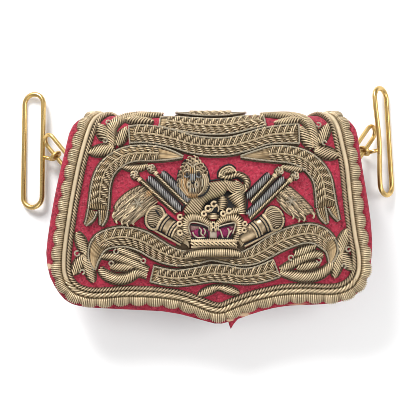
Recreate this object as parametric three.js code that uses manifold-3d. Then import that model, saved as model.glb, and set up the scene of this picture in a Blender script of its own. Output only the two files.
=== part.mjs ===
// Officer's full dress cross belt pouch, lying on its back: a stiff cloth-covered flap that wraps over the top of a
// small leather box, raised bullion embroidery on the flap, and a brass ring and long belt slide on each side.
// Millimetres, +Z up. The origin is in the middle of the back's flat face, which lies on z = 0.
// +X points to the wearer's left side of the flap as it is read, +Y to the top of the pouch.
import * as THREE from "three";
import { mergeVertices } from "three/addons/utils/BufferGeometryUtils.js";
import Module from "manifold-3d";

const wasm = await Module();
wasm.setup();
const { Manifold, Mesh: SolidMesh } = wasm;

// ---- Driving dimensions -------------------------------------------------------------------------------------------

const FLAP_TOP = 36; // height of the flap's face above the back, where it turns over the top
const FACE_RADIUS = 450; // gentle crown of the flap's face, from tip to top
const FOLD_START = 44; // arc length at which the face turns over the top
const FOLD_RADIUS = 15;
const FOLD_Y = 42; // y of the line where the fold starts
const HEM_RADIUS = 4; // turn from the top onto the back
const CLOTH_THICKNESS = 1;
const LEATHER = 2;
const BACK_THICKNESS = 2.5;
const GAP = 0.3; // clearance between neighbouring pieces
const LIFT = 0.4; // clearance under an embroidered piece

const BOX_HALF_TOP = 70; // half of the box's width at its mouth, and at its bottom
const BOX_HALF_BOTTOM = 73;
const BOX_MOUTH_Y = 46;
const BOX_BOTTOM_Y = -37;
const BOX_CORNER = 14;
const GUSSET_INSET = 0.8;

const BAR_RADIUS = 1.4; // wire of the belt slides
const SLIDE_WIDTH = 11.6; // between the centres of its two long bars
const RING_WIRE = 1.2;
const RING_WIDTH = 8.6;
const EYE_WIRE = 1.1;
const EYE_RADIUS = RING_WIRE + EYE_WIRE + 0.45;
const FLANGE_RADIUS = 4;
const FLANGE_THICKNESS = 1.2;

const SCALLOP_PITCH = 8.1;
const SCALLOP_DEPTH = 1.5;

// ---- Materials ----------------------------------------------------------------------------------------------------

const finish = (color, roughness, metalness) => new THREE.MeshStandardMaterial({ color, roughness, metalness });
const CLOTH = finish(0xb0213a, 0.95, 0);
const HIDE = finish(0x7d1a24, 0.6, 0);
const BULLION = finish(0xa89272, 0.5, 0.5);
const PALE_BULLION = finish(0xb9a37e, 0.45, 0.5);
const DARK_BULLION = finish(0x5c5f62, 0.55, 0.5);
const PLATE = finish(0xa9957c, 0.3, 0.9);
const VELVET = finish(0x7a2252, 0.95, 0);
const BRASS = finish(0xd9b35a, 0.3, 1);

// ---- Tables and curves --------------------------------------------------------------------------------------------

// Rows with named columns.
const table = (names, rows) => rows.map((row) => Object.fromEntries(names.map((name, i) => [name, row[i]])));

// Straight-line lookup of one column by another that rises from row to row.
function lookup(rows, key, at, value) {
  const next = rows.findIndex((row) => row[key] >= at);
  if (next === 0) return rows[0][value];
  if (next < 0) return rows[rows.length - 1][value];
  const [low, high] = [rows[next - 1], rows[next]];
  return low[value] + ((high[value] - low[value]) * (at - low[key])) / (high[key] - low[key]);
}

// Edges of the flap by arc length v, from the tip (negative) to the upright stretch behind the fold.
const FLAP_EDGES = table(["v", "left", "right"], [
  [-56.3, 2, 6],
  [-55, -3, 11],
  [-53, -10, 17],
  [-51, -17.5, 22.5],
  [-49.5, -27, 27.5],
  [-48.6, -46, 31],
  [-47.5, -67, 35.5],
  [-46.4, -73, 44],
  [-45.8, -75, 61],
  [-44.8, -77, 69],
  [-43, -79.5, 75],
  [-40, -82, 79.3],
  [-36, -84.6, 82.3],
  [-31, -87, 84.6],
  [-25, -88.4, 86.2],
  [-18, -89, 87],
  [-10, -88.2, 87],
  [0, -86.7, 86.2],
  [10, -85, 84.8],
  [20, -83, 83.2],
  [28, -81.3, 81.9],
  [36, -79.4, 80.8],
  [FOLD_START, -77.6, 79.8],
  [47, -77, 79.3],
  [50, -76, 78.7],
  [53, -75, 77.5],
  [56, -73.2, 76],
  [59, -70.2, 73.8],
  [62, -67.8, 71.3],
  [65, -66.4, 69.3],
  [67.56, -65.5, 68],
  [76, -64.8, 66.6],
]);

// ---- The flap's face ----------------------------------------------------------------------------------------------
// One sheet of leather makes the flap and the back. Its outer face is followed by arc length: the face of the flap, the
// fold over the top, the drop behind it, the hem, and the back.

const QUARTER = Math.PI / 2;
const DROP_START = FOLD_START + QUARTER * FOLD_RADIUS;
const HEM_START = DROP_START + FLAP_TOP - FOLD_RADIUS - HEM_RADIUS;
const BACK_START = HEM_START + QUARTER * HEM_RADIUS;
const BACK_Y = FOLD_Y + FOLD_RADIUS - HEM_RADIUS;

// Point and outward normal of that face at arc length v, in the plane x = 0.
function profileAt(v) {
  if (v <= FOLD_START) {
    const turn = (FOLD_START - v) / FACE_RADIUS;
    const y = FOLD_Y - FACE_RADIUS * Math.sin(turn);
    return { v, y, z: FLAP_TOP - FACE_RADIUS * (1 - Math.cos(turn)), ny: -Math.sin(turn), nz: Math.cos(turn) };
  }
  if (v <= HEM_START) {
    const turn = Math.min((v - FOLD_START) / FOLD_RADIUS, QUARTER);
    const [ny, nz] = [Math.sin(turn), Math.cos(turn)];
    const top = FLAP_TOP - FOLD_RADIUS - Math.max(0, v - DROP_START);
    return { v, y: FOLD_Y + FOLD_RADIUS * ny, z: top + FOLD_RADIUS * nz, ny, nz };
  }
  const turn = Math.min((v - HEM_START) / HEM_RADIUS, QUARTER);
  const y = BACK_Y - Math.max(0, v - BACK_START);
  return { v, y: y + HEM_RADIUS * Math.cos(turn), z: HEM_RADIUS - HEM_RADIUS * Math.sin(turn), ny: Math.cos(turn), nz: -Math.sin(turn) };
}

// Half of the box's width at a given y: a slight taper and round lower corners.
function boxHalf(y) {
  const along = THREE.MathUtils.clamp((BOX_MOUTH_Y - y) / (BOX_MOUTH_Y - BOX_BOTTOM_Y), 0, 1);
  const straight = BOX_HALF_TOP + (BOX_HALF_BOTTOM - BOX_HALF_TOP) * along;
  const into = THREE.MathUtils.clamp(BOX_BOTTOM_Y + BOX_CORNER - y, 0, BOX_CORNER);
  return straight - BOX_CORNER + Math.sqrt(BOX_CORNER ** 2 - into ** 2);
}

// Heights of the box's rows, from its mouth to its bottom, closer together round the corners.
const BOX_ROWS = [BOX_MOUTH_Y, 30, 10, -10, ...[0, 18, 36, 54, 72, 90].map((degrees) => (
  BOX_BOTTOM_Y + BOX_CORNER * (1 - Math.sin((degrees * Math.PI) / 180))
))];

const SHEET_EDGES = [
  ...FLAP_EDGES,
  ...[HEM_START, (HEM_START + BACK_START) / 2, BACK_START].map((v) => ({ v, left: -64.5, right: 66 })),
  ...BOX_ROWS.map((y) => ({ v: BACK_START + BACK_Y - y, left: -boxHalf(y), right: boxHalf(y) })),
];
const STATIONS = SHEET_EDGES.map((row) => profileAt(row.v));

// Point at height h over the sheet's face, across u and along v. It follows the same flat facets as the sheet.
function onFlap(u, v, h) {
  const [y, z, ny, nz] = ["y", "z", "ny", "nz"].map((value) => lookup(STATIONS, "v", v, value));
  return new THREE.Vector3(u, y + ny * h, z + nz * h);
}

// Arc length at which the surface h over the flap's face has a given y.
function arcAt(y, h) {
  let [low, high] = [FLAP_EDGES[0].v, DROP_START];
  for (let i = 0; i < 40; i++) {
    const middle = (low + high) / 2;
    if (onFlap(0, middle, h).y < y) low = middle;
    else high = middle;
  }
  return low;
}

// A curved sheet between two edges and two heights, which may depend on the arc length.
function sheet(rows, inner, outer) {
  return loft(rows.map(({ v, left, right }) => [
    onFlap(left, v, inner(v)),
    onFlap(right, v, inner(v)),
    onFlap(right, v, outer(v)),
    onFlap(left, v, outer(v)),
  ]));
}

// ---- Solids from sections -----------------------------------------------------------------------------------------

// A closed solid through rings of points. Ends are capped unless the rings close on themselves.
function loft(rings, { closed = false, flatCap = null } = {}) {
  const size = rings[0].length;
  const position = rings.flat().flatMap((point) => [point.x, point.y, point.z]);
  const index = [];
  const last = closed ? rings.length : rings.length - 1;
  for (let i = 0; i < last; i++) {
    const [here, there] = [i * size, ((i + 1) % rings.length) * size];
    for (let j = 0; j < size; j++) {
      const k = (j + 1) % size;
      index.push(here + j, here + k, there + k, here + j, there + k, there + j);
    }
  }
  if (!closed) {
    const cap = THREE.ShapeUtils.triangulateShape(flatCap ?? flatten(rings[0]), []);
    const end = (rings.length - 1) * size;
    for (const [a, b, c] of cap) index.push(c, b, a, end + a, end + b, end + c);
  }
  return outward(new THREE.BufferGeometry()
    .setAttribute("position", new THREE.Float32BufferAttribute(position, 3))
    .setIndex(index));
}

// A ring's points in its own plane, counter-clockwise as the ring runs, for triangulating its cap.
function flatten(ring) {
  const middle = ring.reduce((sum, point) => sum.add(point), new THREE.Vector3()).divideScalar(ring.length);
  const normal = new THREE.Vector3();
  ring.forEach((point, i) => {
    const next = ring[(i + 1) % ring.length];
    normal.add(point.clone().sub(middle).cross(next.clone().sub(middle)));
  });
  normal.normalize();
  const across = ring[0].clone().sub(middle).projectOnPlane(normal).normalize();
  const up = normal.clone().cross(across);
  return ring.map((point) => new THREE.Vector2(
    point.clone().sub(middle).dot(across),
    point.clone().sub(middle).dot(up),
  ));
}

// Turns the faces round if they point inwards.
function outward(geometry) {
  const position = geometry.getAttribute("position");
  const index = geometry.getIndex().array;
  const [a, b, c] = [new THREE.Vector3(), new THREE.Vector3(), new THREE.Vector3()];
  let volume = 0;
  for (let i = 0; i < index.length; i += 3) {
    a.fromBufferAttribute(position, index[i]);
    b.fromBufferAttribute(position, index[i + 1]);
    c.fromBufferAttribute(position, index[i + 2]);
    volume += a.dot(b.cross(c));
  }
  if (volume < 0) for (let i = 0; i < index.length; i += 3) [index[i], index[i + 1]] = [index[i + 1], index[i]];
  return geometry;
}

function toSolid(geometry) {
  const bare = geometry.clone();
  bare.deleteAttribute("normal");
  bare.deleteAttribute("uv");
  const merged = mergeVertices(bare, 1e-4);
  return new Manifold(new SolidMesh({
    numProp: 3,
    vertProperties: new Float32Array(merged.getAttribute("position").array),
    triVerts: new Uint32Array(merged.getIndex().array),
  }));
}

function toGeometry(solid) {
  const { vertProperties, triVerts } = solid.getMesh();
  const geometry = new THREE.BufferGeometry()
    .setAttribute("position", new THREE.Float32BufferAttribute(vertProperties, 3))
    .setIndex(new THREE.Uint32BufferAttribute(triVerts, 1));
  geometry.computeVertexNormals();
  return geometry;
}

const biggest = (solid) => solid.decompose().reduce((best, body) => (body.volume() > best.volume() ? body : best));

// ---- Embroidered pieces -------------------------------------------------------------------------------------------
// Each maker returns a function of (grow, low, high): the piece's solid between two heights, widened by grow.

// A band or rope along a route on the flap. Its table gives the middle line and half the width.
function band(rows, { step = 7, across = 1, shoulder = 0.8, corner = 0 } = {}) {
  const curve = new THREE.CatmullRomCurve3(rows.map((row) => new THREE.Vector3(row.u, row.v, row.half)), false, "centripetal");
  const count = Math.max(2, Math.ceil(curve.getLength() / step));
  return (grow, low, high) => {
    const rings = curve.getSpacedPoints(count).map((point, i) => {
      const ahead = curve.getTangentAt(Math.min(i / count + 1e-3, 1)).setZ(0).normalize();
      const side = new THREE.Vector2(-ahead.y, ahead.x);
      const half = Math.max(point.z, 0.4) + grow;
      const inset = Math.min(shoulder, half * 0.6);
      const at = (offset, h) => onFlap(point.x + side.x * offset, point.y + side.y * offset, h);
      const spread = (from, to, h) => Array.from({ length: across + 1 }, (_, k) => at(from + ((to - from) * k) / across, h));
      const brow = corner || (high - low) * 0.45;
      return [
        ...spread(-half, half, low),
        at(half, high - brow),
        ...spread(half - inset, inset - half, high),
        at(-half, high - brow),
      ];
    });
    return toSolid(loft(rings));
  };
}

// A raised patch with a given outline on the flap. The top is set in from the outline.
function patch(outline, { shoulder = 0.8 } = {}) {
  const points = outline.map((row) => new THREE.Vector2(row.u, row.v));
  if (THREE.ShapeUtils.isClockWise(points)) points.reverse();
  return (grow, low, high) => {
    const wide = offset(points, grow);
    const narrow = offset(points, grow - shoulder);
    const raise = (ring, h) => ring.map((point) => onFlap(point.x, point.y, h));
    const rings = [raise(wide, low), raise(wide, high - (high - low) * 0.45), raise(narrow, high)];
    return toSolid(loft(rings, { flatCap: wide }));
  };
}

// An outline moved outwards by a distance, corner by corner.
function offset(points, distance) {
  return points.map((point, i) => {
    const before = points[(i + points.length - 1) % points.length];
    const after = points[(i + 1) % points.length];
    const inDirection = point.clone().sub(before).normalize();
    const outDirection = after.clone().sub(point).normalize();
    const normal = new THREE.Vector2(inDirection.y + outDirection.y, -inDirection.x - outDirection.x).normalize();
    const reach = Math.min(1.6, 1 / Math.max(0.2, normal.dot(new THREE.Vector2(inDirection.y, -inDirection.x))));
    return point.clone().addScaledVector(normal, distance * reach);
  });
}

// A pointed leaf or a bud: middle, length, width and the angle of its axis in degrees. Its tip lies at the axis' end.
function leaf({ u, v, length, width, angle, blunt = 0.5 }, sides = 8) {
  const [cos, sin] = [Math.cos((angle * Math.PI) / 180), Math.sin((angle * Math.PI) / 180)];
  return patch(Array.from({ length: sides }, (_, k) => {
    const turn = (2 * Math.PI * k) / sides;
    const along = (Math.cos(turn) * length) / 2;
    const full = Math.abs(Math.sin(turn)) ** (Math.cos(turn) > 0 ? 1.3 - blunt : 1);
    const aside = (Math.sign(Math.sin(turn)) * full * width) / 2;
    return { u: u + along * cos - aside * sin, v: v + along * sin + aside * cos };
  }));
}

// Stems or ropes with their leaves, in one piece.
const spray = (stems, leaves, options = { step: 5 }) => joined(
  ...stems.map((rows) => band(rows, options)),
  ...leaves.map((row) => leaf(row)),
);

const joined = (...makers) => (grow, low, high) => makers.map((make) => make(grow, low, high)).reduce((sum, body) => sum.add(body));

// ---- Embroidery chart ---------------------------------------------------------------------------------------------

const ROUTE = ["u", "v", "half"];
const LEAF = ["u", "v", "length", "width", "angle"];

// Inner cord of the border, from the back over the fold and down to the tip, on each side.
const BORDER_LEFT = table(["u", "v"], [
  [-51.5, 80], [-53, 70], [-55.5, 64], [-58.5, 58], [-61.3, 52], [-63.4, 45.5], [-65.6, 38], [-68, 28], [-70, 18],
  [-71.8, 8], [-73, 0], [-74.5, -10], [-75.6, -20], [-75.6, -27], [-74.2, -31.5], [-71, -35], [-65, -36.9],
  [-57, -36.9], [-46, -36], [-35, -36.2], [-25, -37], [-15, -38.6], [-5, -42.2], [4, -45.2],
]);
const BORDER_RIGHT = table(["u", "v"], [
  [4, -45.2], [10, -43], [20, -39.3], [30, -36.7], [40, -35.1], [52, -35], [63, -35.6], [70, -35.1], [74.4, -33],
  [77, -30], [78, -25], [77.2, -18], [75.4, -10], [73.4, 0], [72, 10], [70.6, 20], [69.5, 30], [67.4, 40],
  [65.4, 49], [63, 55.5], [60, 61], [57.5, 66], [55, 72], [53.5, 80],
]);

const CREST_SCROLL = table(ROUTE, [[-19, 64.5, 2.5], [-10, 62.8, 4.2], [0, 62, 4.6], [10, 62.6, 4.2], [19, 64.5, 2.5]]);
const TOP_SCROLL = table(ROUTE, [[-28, 53.5, 3.6], [-20, 52.6, 4.6], [-10, 51.2, 5], [0, 50.4, 5], [10, 50.8, 5], [20, 53, 5], [29.5, 54.5, 4]]);
const UPPER_SCROLL = table(ROUTE, [
  [-44.5, 45.7, 4.8], [-38, 46.2, 5], [-30, 45.6, 4.9], [-20, 43.5, 4.9], [-10, 40.6, 5.1], [0, 39.4, 5.2],
  [10, 39.7, 5.1], [20, 42, 5], [30, 45, 4.8], [40, 46.1, 5.2], [48, 46.2, 5.6],
]);
const LEFT_TAIL = table(ROUTE, [
  [-15, 35, 1.6], [-22, 35.4, 3.4], [-30, 35.7, 4.4], [-40, 35.8, 4.6], [-47, 34.2, 4.8], [-53, 30.5, 5], [-57, 25.5, 5.2],
  [-59.2, 19, 5.4], [-60, 12, 5.6], [-60.6, 5, 5.8], [-62.4, -2, 6],
]);
const RIGHT_TAIL = table(ROUTE, [
  [16, 34.4, 1.2], [25, 35.1, 3.4], [33, 35.5, 4.5], [42, 35, 4.8], [50, 32.6, 5], [56, 28, 5.2], [59.8, 22, 5.3],
  [61.2, 15, 5.4], [62, 8, 5.6], [64, -0.5, 6],
]);
const LOWER_SCROLL = table(ROUTE, [
  [-62.6, -27, 0.8], [-63, -21, 3.4], [-61, -14.5, 4.8], [-57, -11, 5.2], [-50, -9.3, 5.6], [-43, -9.7, 5.7],
  [-36, -12, 5.9], [-30, -15.5, 5.8], [-24, -18.6, 5.3], [-17, -20.5, 4.5], [-8, -20.5, 3.6], [0, -19, 3.2],
  [8, -20, 3.6], [16, -20.9, 4], [22, -19.6, 4.8], [28, -16.7, 5.3], [35, -12.6, 5.5], [42, -9.6, 5.5],
  [50, -7.5, 5.4], [56, -7.8, 5.4], [61, -10.5, 5.2], [64.6, -15, 4.2], [65, -19.5, 2.8], [64, -24, 0.8],
]);
const BOTTOM_SCROLL = table(ROUTE, [
  [-32, -29, 4.6], [-25, -30.6, 4.6], [-18, -31.3, 4.5], [-10, -30.4, 4.6], [0, -28.7, 4.8], [8, -29, 4.8],
  [15, -30.1, 4.5], [22, -30, 4.6], [29, -28.3, 5], [35.5, -25.8, 5.4],
]);

const CRESCENTS = {
  left: table(ROUTE, [[-48, 28.6, 0.8], [-43.5, 27.9, 1.7], [-38.5, 27.9, 1.8], [-34, 29.4, 1]]),
  right: table(ROUTE, [[38, 29, 0.8], [42, 27.9, 1.8], [46.5, 27.4, 1.8], [51, 27.6, 0.8]]),
};

const TOP_LEFT_STEM = table(ROUTE, [[-59.5, 38.4, 1], [-54.6, 40, 1.6], [-54.5, 44, 2.9], [-54.6, 49, 3], [-52, 54, 3], [-46.5, 59, 3], [-39, 62, 3], [-31, 63.5, 2.2]]);
const TOP_RIGHT_STEM = table(ROUTE, [[62, 37, 1], [57.6, 38.4, 1.6], [57, 42, 2.7], [56.5, 48, 3], [53.5, 54, 3], [48, 59, 3], [40, 62, 3], [32, 63.5, 2.2]]);
const TOP_LEFT_LEAVES = table(LEAF, [[-59.2, 49.3, 8, 6.6, 170], [-61, 37.9, 10.4, 6, 196], [-49.6, 45.2, 9.5, 4.4, 62], [-39, 56, 15, 4.6, -10]]);
const TOP_RIGHT_LEAVES = table(LEAF, [[52.2, 44.5, 12, 5.4, -72], [61.4, 46.6, 12, 5.4, 66], [63.8, 36.4, 10.5, 6.2, -14], [42.5, 56.3, 14, 4.4, 190]]);
const LOW_LEFT_LEAVES = table(LEAF, [[-70.6, -11.2, 12, 5.2, 118], [-71.8, -23.5, 12, 5.2, 245], [-66.2, -26, 16, 4.8, -72]]);
const LOW_RIGHT_LEAVES = table(LEAF, [[71.5, -10, 12, 5.2, 66], [72.8, -22, 11, 5, -62], [68.2, -24.5, 13, 5, -102]]);
const LOW_LEFT_STEM = table(ROUTE, [[-70.4, -12, 0.9], [-69.4, -17.5, 1.1], [-69.8, -22.5, 1.1], [-67, -24.5, 1]]);
const LOW_RIGHT_STEM = table(ROUTE, [[71, -11, 0.9], [70.4, -16.5, 1.1], [71, -20.5, 1.1], [68.8, -23, 1]]);
const LOW_LEFT_ROPES = [
  table(ROUTE, [[-58.5, -20.5, 1.6], [-52.5, -20, 2.2], [-46, -22, 2.4], [-40, -24.8, 2.4], [-34.5, -27.5, 1.8]]),
  table(ROUTE, [[-59.5, -26.5, 1.8], [-55.5, -30, 2.5], [-50, -31.5, 2.6], [-44, -30.6, 2.5], [-39.5, -27.5, 2.2], [-35.5, -28.8, 1.8]]),
];
const LOW_RIGHT_ROPES = [
  table(ROUTE, [[38, -27.6, 1.6], [43, -24.6, 2.1], [49, -21.4, 2.1], [55, -19.2, 2.1], [59.5, -19.4, 1.5]]),
  table(ROUTE, [[37.8, -28.4, 1.6], [43.5, -29.4, 2.3], [50, -30, 2.6], [57, -29.2, 2.6], [62, -26.5, 2.3], [65.5, -22.5, 1.8]]),
];
const LOW_LEFT_INNER = table(LEAF, [[-46.5, -18, 12, 3.8, -14], [-49.5, -25, 10.5, 4, -6]]);
const LOW_RIGHT_INNER = table(LEAF, [[50, -16.8, 12, 4, 22], [51.5, -24.6, 12.5, 4, 8]]);
const TIP_LEAVES = table(LEAF, [[-2, -38.6, 11, 4, 204], [10, -38, 11, 4, -17], [4, -36.6, 7, 3, 0]]);

const STAVES = table(["name", "fromU", "fromV", "toU", "toV", "half"], [
  ["left_outer_rod", -34, 23, -16.5, 5.2, 1.6],
  ["left_inner_rod", -26.5, 25.4, -12, 10, 1.6],
  ["right_inner_rod", 31.3, 24.4, 19.6, 12.4, 1.5],
  ["right_outer_rod", 39.3, 22.6, 20, 2.4, 1.6],
]);
const POLES = table(["name", "fromU", "fromV", "toU", "toV", "headU", "headV"], [
  ["left_outer_pole", -39.2, 22.4, -18.5, 3.6, -40.8, 23.6],
  ["left_inner_pole", -29.4, 24, -13, 8.2, -31.8, 27],
  ["right_inner_pole", 35.2, 24.4, 21.4, 9.4, 36.4, 25.8],
  ["right_outer_pole", 43.4, 22.2, 20.8, 0.6, 44.8, 23.2],
]);

const OUTLINE = ["u", "v"];
const LEFT_FLAG = table(OUTLINE, [
  [-37, 18.6], [-41.5, 16.6], [-47, 13], [-51.5, 8.5], [-53.2, 3], [-52.4, -1.8], [-50, -0.6], [-47, -2.8], [-42, -2.6],
  [-36.5, 2], [-31, 7], [-28, 9.6],
]);
const RIGHT_FLAG = table(OUTLINE, [
  [41.4, 18.6], [46, 14.6], [51, 10], [55.2, 5.4], [56.6, 2.4], [53.4, 3.2], [51.2, 2], [51.6, -0.8], [47, 0], [42, 3],
  [37.4, 7.4], [34.6, 12.2],
]);
const LEFT_BARREL = table(ROUTE, [[-34.4, 3.6, 5.4], [-30, 1, 6.6], [-26, -1.6, 5.2], [-19, -6.2, 4.8], [-13.5, -9.8, 4]]);
const RIGHT_BARREL = table(ROUTE, [[38.4, 3, 4.4], [34, 0.6, 5.8], [29, -2.4, 5], [22, -6.6, 4.4], [15.5, -10.4, 3.6]]);

const CROWN_ROLL = table(ROUTE, [[-13.8, -18.8, 1.4], [-9, -17.6, 2.1], [1, -16.9, 2.1], [10, -17.2, 2.1], [15, -18.2, 1.4]]);
const CROWN_BAND = table(ROUTE, [[-10.6, -12.7, 1.9], [1.5, -12.4, 1.9], [14, -12.9, 1.9]]);
const LEFT_ARCH = table(ROUTE, [[-12.2, -9.6, 1.6], [-14.2, -5, 2], [-13.4, -0.4, 2], [-10, 1.7, 2], [-5, 1, 1.8], [-1, -1.4, 1.5], [0.4, -4, 1.1]]);
const RIGHT_ARCH = table(ROUTE, [[14.6, -9.6, 1.6], [16.2, -5, 2], [15.4, -0.4, 2], [12, 1.7, 2], [7.6, 1, 1.8], [4, -1.4, 1.5], [2.6, -4, 1.1]]);
const CAP = table(OUTLINE, [[-12, -10.4], [-12.6, -2], [-3, -3], [1.5, -6], [6, -3], [14, -2], [13.6, -10.4]]);

const LION_HEAD = table(OUTLINE, [
  [-9.6, 34.4], [-13.4, 32.2], [-16, 28], [-17.6, 22.6], [-17.4, 17.6], [-14.6, 13.4], [-10, 11.4], [-5.6, 12], [-2.4, 15.4],
  [-1.2, 20], [-2.4, 26], [-5.4, 31.4],
]);
const LION_BODY = table(OUTLINE, [
  [-12, 12], [-15.4, 7.6], [-14.6, 4.4], [-9, 4.6], [-6.8, 4.8], [-3.4, 9.6], [1.4, 11.6], [5.6, 12.4], [7, 9], [6, 6],
  [9.4, 6.6], [12, 10.4], [15.2, 8.6], [13.6, 5.4], [16.6, 3], [19.6, 4.6], [18.8, 9], [18, 13.4], [16.6, 17.6], [13.4, 20.6],
  [8.6, 21.4], [3, 20.6], [0, 19],
]);
const LION_TAIL = table(ROUTE, [[17.6, 17.4, 1.3], [19.4, 20, 1.5], [17.6, 23.2, 1.5], [13.4, 24.6, 1.5], [8.6, 24, 1.6], [6.2, 25.8, 1.7], [8.6, 28, 1.6], [11.8, 28, 1.4], [13.6, 26.8, 0.8]]);

// A straight stave as a band.
const stave = ({ fromU, fromV, toU, toV, half }) => band(
  table(ROUTE, [[fromU, fromV, half], [(fromU + toU) / 2, (fromV + toV) / 2, half], [toU, toV, half]]),
  { step: 12, shoulder: half * 0.6 },
);
const pole = (row) => joined(
  stave({ ...row, half: 0.7 }),
  leaf({
    u: row.headU,
    v: row.headV,
    length: 8,
    width: 3.6,
    angle: (Math.atan2(row.headV - row.toV, row.headU - row.toU) * 180) / Math.PI,
  }),
);

// ---- Border -------------------------------------------------------------------------------------------------------

const borderCurve = new THREE.CatmullRomCurve3(
  [...BORDER_LEFT, ...BORDER_RIGHT.slice(1)].map((row) => new THREE.Vector3(row.u, row.v, 0)),
  false,
  "centripetal",
);
const SCALLOPS = Math.round(borderCurve.getLength() / SCALLOP_PITCH);

const THIRDS = Array.from({ length: SCALLOPS * 3 + 1 }, (_, i) => i);

// A strip of the border between two distances outside its inner line, through a ring at each of some thirds of a
// scallop. ripple(i) narrows ring i.
function borderStrip(from, to, thirds, ripple = () => 0) {
  return (grow, low, high) => toSolid(loft(thirds.map((i) => {
    const point = borderCurve.getPointAt(i / (SCALLOPS * 3));
    const ahead = borderCurve.getTangentAt(i / (SCALLOPS * 3));
    const at = (offset, h) => onFlap(point.x + ahead.y * offset, point.y - ahead.x * offset, h);
    const [near, far] = [from - grow, to - ripple(i) + grow];
    const brow = (low + high) / 2;
    const inset = (to - from) * 0.22;
    return [at(far, low), at(near, low), at(near, brow), at(near + inset, high), at(far - inset, high), at(far, brow)];
  })));
}

// The smooth strips have a ring at each scallop on the face, and three round the fold.
const smooth = THIRDS.filter((i) => i % 3 === 0 || borderCurve.getPointAt(i / (SCALLOPS * 3)).y > FOLD_START - 4);

const BORDER = [
  ["border_scallops", borderStrip(5.1, 10.4, THIRDS, (i) => (i % 3 ? 0 : SCALLOP_DEPTH)), 3, BULLION],
  ["border_plate", borderStrip(2.1, 4.8, smooth), 2.6, PLATE],
  ["border_cord", borderStrip(0, 1.8, smooth), 2.4, DARK_BULLION],
];
const wholeBorder = borderStrip(0, 10.4, smooth);

// Pieces from the topmost down: each is cut clear of those above it. low and high are heights over the cloth.
const PIECES = [
  ["crown_roll", band(CROWN_ROLL, { step: 6, shoulder: 1 }), 4.4, PALE_BULLION],
  ["crown_band", band(CROWN_BAND, { step: 13 }), 3.6, BULLION],
  ["crown_left_arch", band(LEFT_ARCH, { step: 4.5 }), 4.2, PALE_BULLION],
  ["crown_right_arch", band(RIGHT_ARCH, { step: 4.5 }), 4.2, PALE_BULLION],
  ["crown_cap", patch(CAP), 2.2, VELVET],
  ["crown_orb", leaf({ u: 1.5, v: 4.6, length: 6, width: 5, angle: 90 }), 3.8, BULLION],
  ["lion_head", patch(LION_HEAD, { shoulder: 2 }), 5.2, BULLION],
  ["lion_body", patch(LION_BODY, { shoulder: 1 }), 4, PALE_BULLION],
  ["lion_tail", band(LION_TAIL, { step: 3.4 }), 3.4, BULLION],
  ["left_barrel", band(LEFT_BARREL, { step: 5, shoulder: 2 }), 4, PLATE],
  ["right_barrel", band(RIGHT_BARREL, { step: 5, shoulder: 2 }), 4, PLATE],
  ...POLES.map((row) => [row.name, pole(row), 2.2, PALE_BULLION]),
  ["left_flag", patch(LEFT_FLAG, { shoulder: 1.4 }), 2.8, BULLION],
  ["right_flag", patch(RIGHT_FLAG, { shoulder: 1.4 }), 2.8, BULLION],
  ...STAVES.map((row) => [row.name, stave(row), 2.4, DARK_BULLION]),
  ["upper_scroll", band(UPPER_SCROLL, { step: 7, across: 3 }), 2.8, BULLION],
  ["top_scroll", band(TOP_SCROLL, { step: 8, across: 3 }), 2.4, BULLION],
  ["crest_scroll", band(CREST_SCROLL, { step: 7, across: 4 }), 3, BULLION],
  ["left_tail", band(LEFT_TAIL), 2.6, BULLION],
  ["right_tail", band(RIGHT_TAIL), 2.6, BULLION],
  ["lower_scroll", band(LOWER_SCROLL), 2.6, BULLION],
  ["bottom_scroll", band(BOTTOM_SCROLL), 2.6, BULLION],
  ["left_crescent", band(CRESCENTS.left, { step: 5 }), 2.2, BULLION],
  ["right_crescent", band(CRESCENTS.right, { step: 5 }), 2.2, BULLION],
  ["top_left_spray", spray([TOP_LEFT_STEM], TOP_LEFT_LEAVES, { step: 3.6, across: 2 }), 3.2, PALE_BULLION],
  ["top_right_spray", spray([TOP_RIGHT_STEM], TOP_RIGHT_LEAVES, { step: 3.6, across: 2 }), 3.2, PALE_BULLION],
  ["low_left_spray", spray([LOW_LEFT_STEM], LOW_LEFT_LEAVES), 3, PALE_BULLION],
  ["low_right_spray", spray([LOW_RIGHT_STEM], LOW_RIGHT_LEAVES), 3, PALE_BULLION],
  ["low_left_knot", spray(LOW_LEFT_ROPES, LOW_LEFT_INNER), 2.8, BULLION],
  ["low_right_knot", spray(LOW_RIGHT_ROPES, LOW_RIGHT_INNER), 2.8, BULLION],
  ["tip_spray", joined(...TIP_LEAVES.map((row) => leaf(row))), 2.4, PALE_BULLION],
];

// ---- Brass --------------------------------------------------------------------------------------------------------

// A closed loop of wire in one plane, with a flat facet on its inner side. Its points are in the plane's own axes.
function wireLoop(points, radius, sides, place) {
  const middle = (a, b) => a.clone().add(b).multiplyScalar(0.5);
  const rings = points.map((point, i) => {
    const before = middle(points[(i + points.length - 1) % points.length], point);
    const after = middle(point, points[(i + 1) % points.length]);
    const ahead = after.clone().sub(before).normalize();
    const side = new THREE.Vector3(ahead.y, -ahead.x, 0);
    return Array.from({ length: sides }, (_, k) => {
      const turn = ((k + 0.5) * 2 * Math.PI) / sides;
      return point.clone().addScaledVector(side, radius * Math.cos(turn)).add(new THREE.Vector3(0, 0, radius * Math.sin(turn))).applyMatrix4(place);
    });
  });
  return toSolid(loft(rings, { closed: true }));
}

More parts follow.
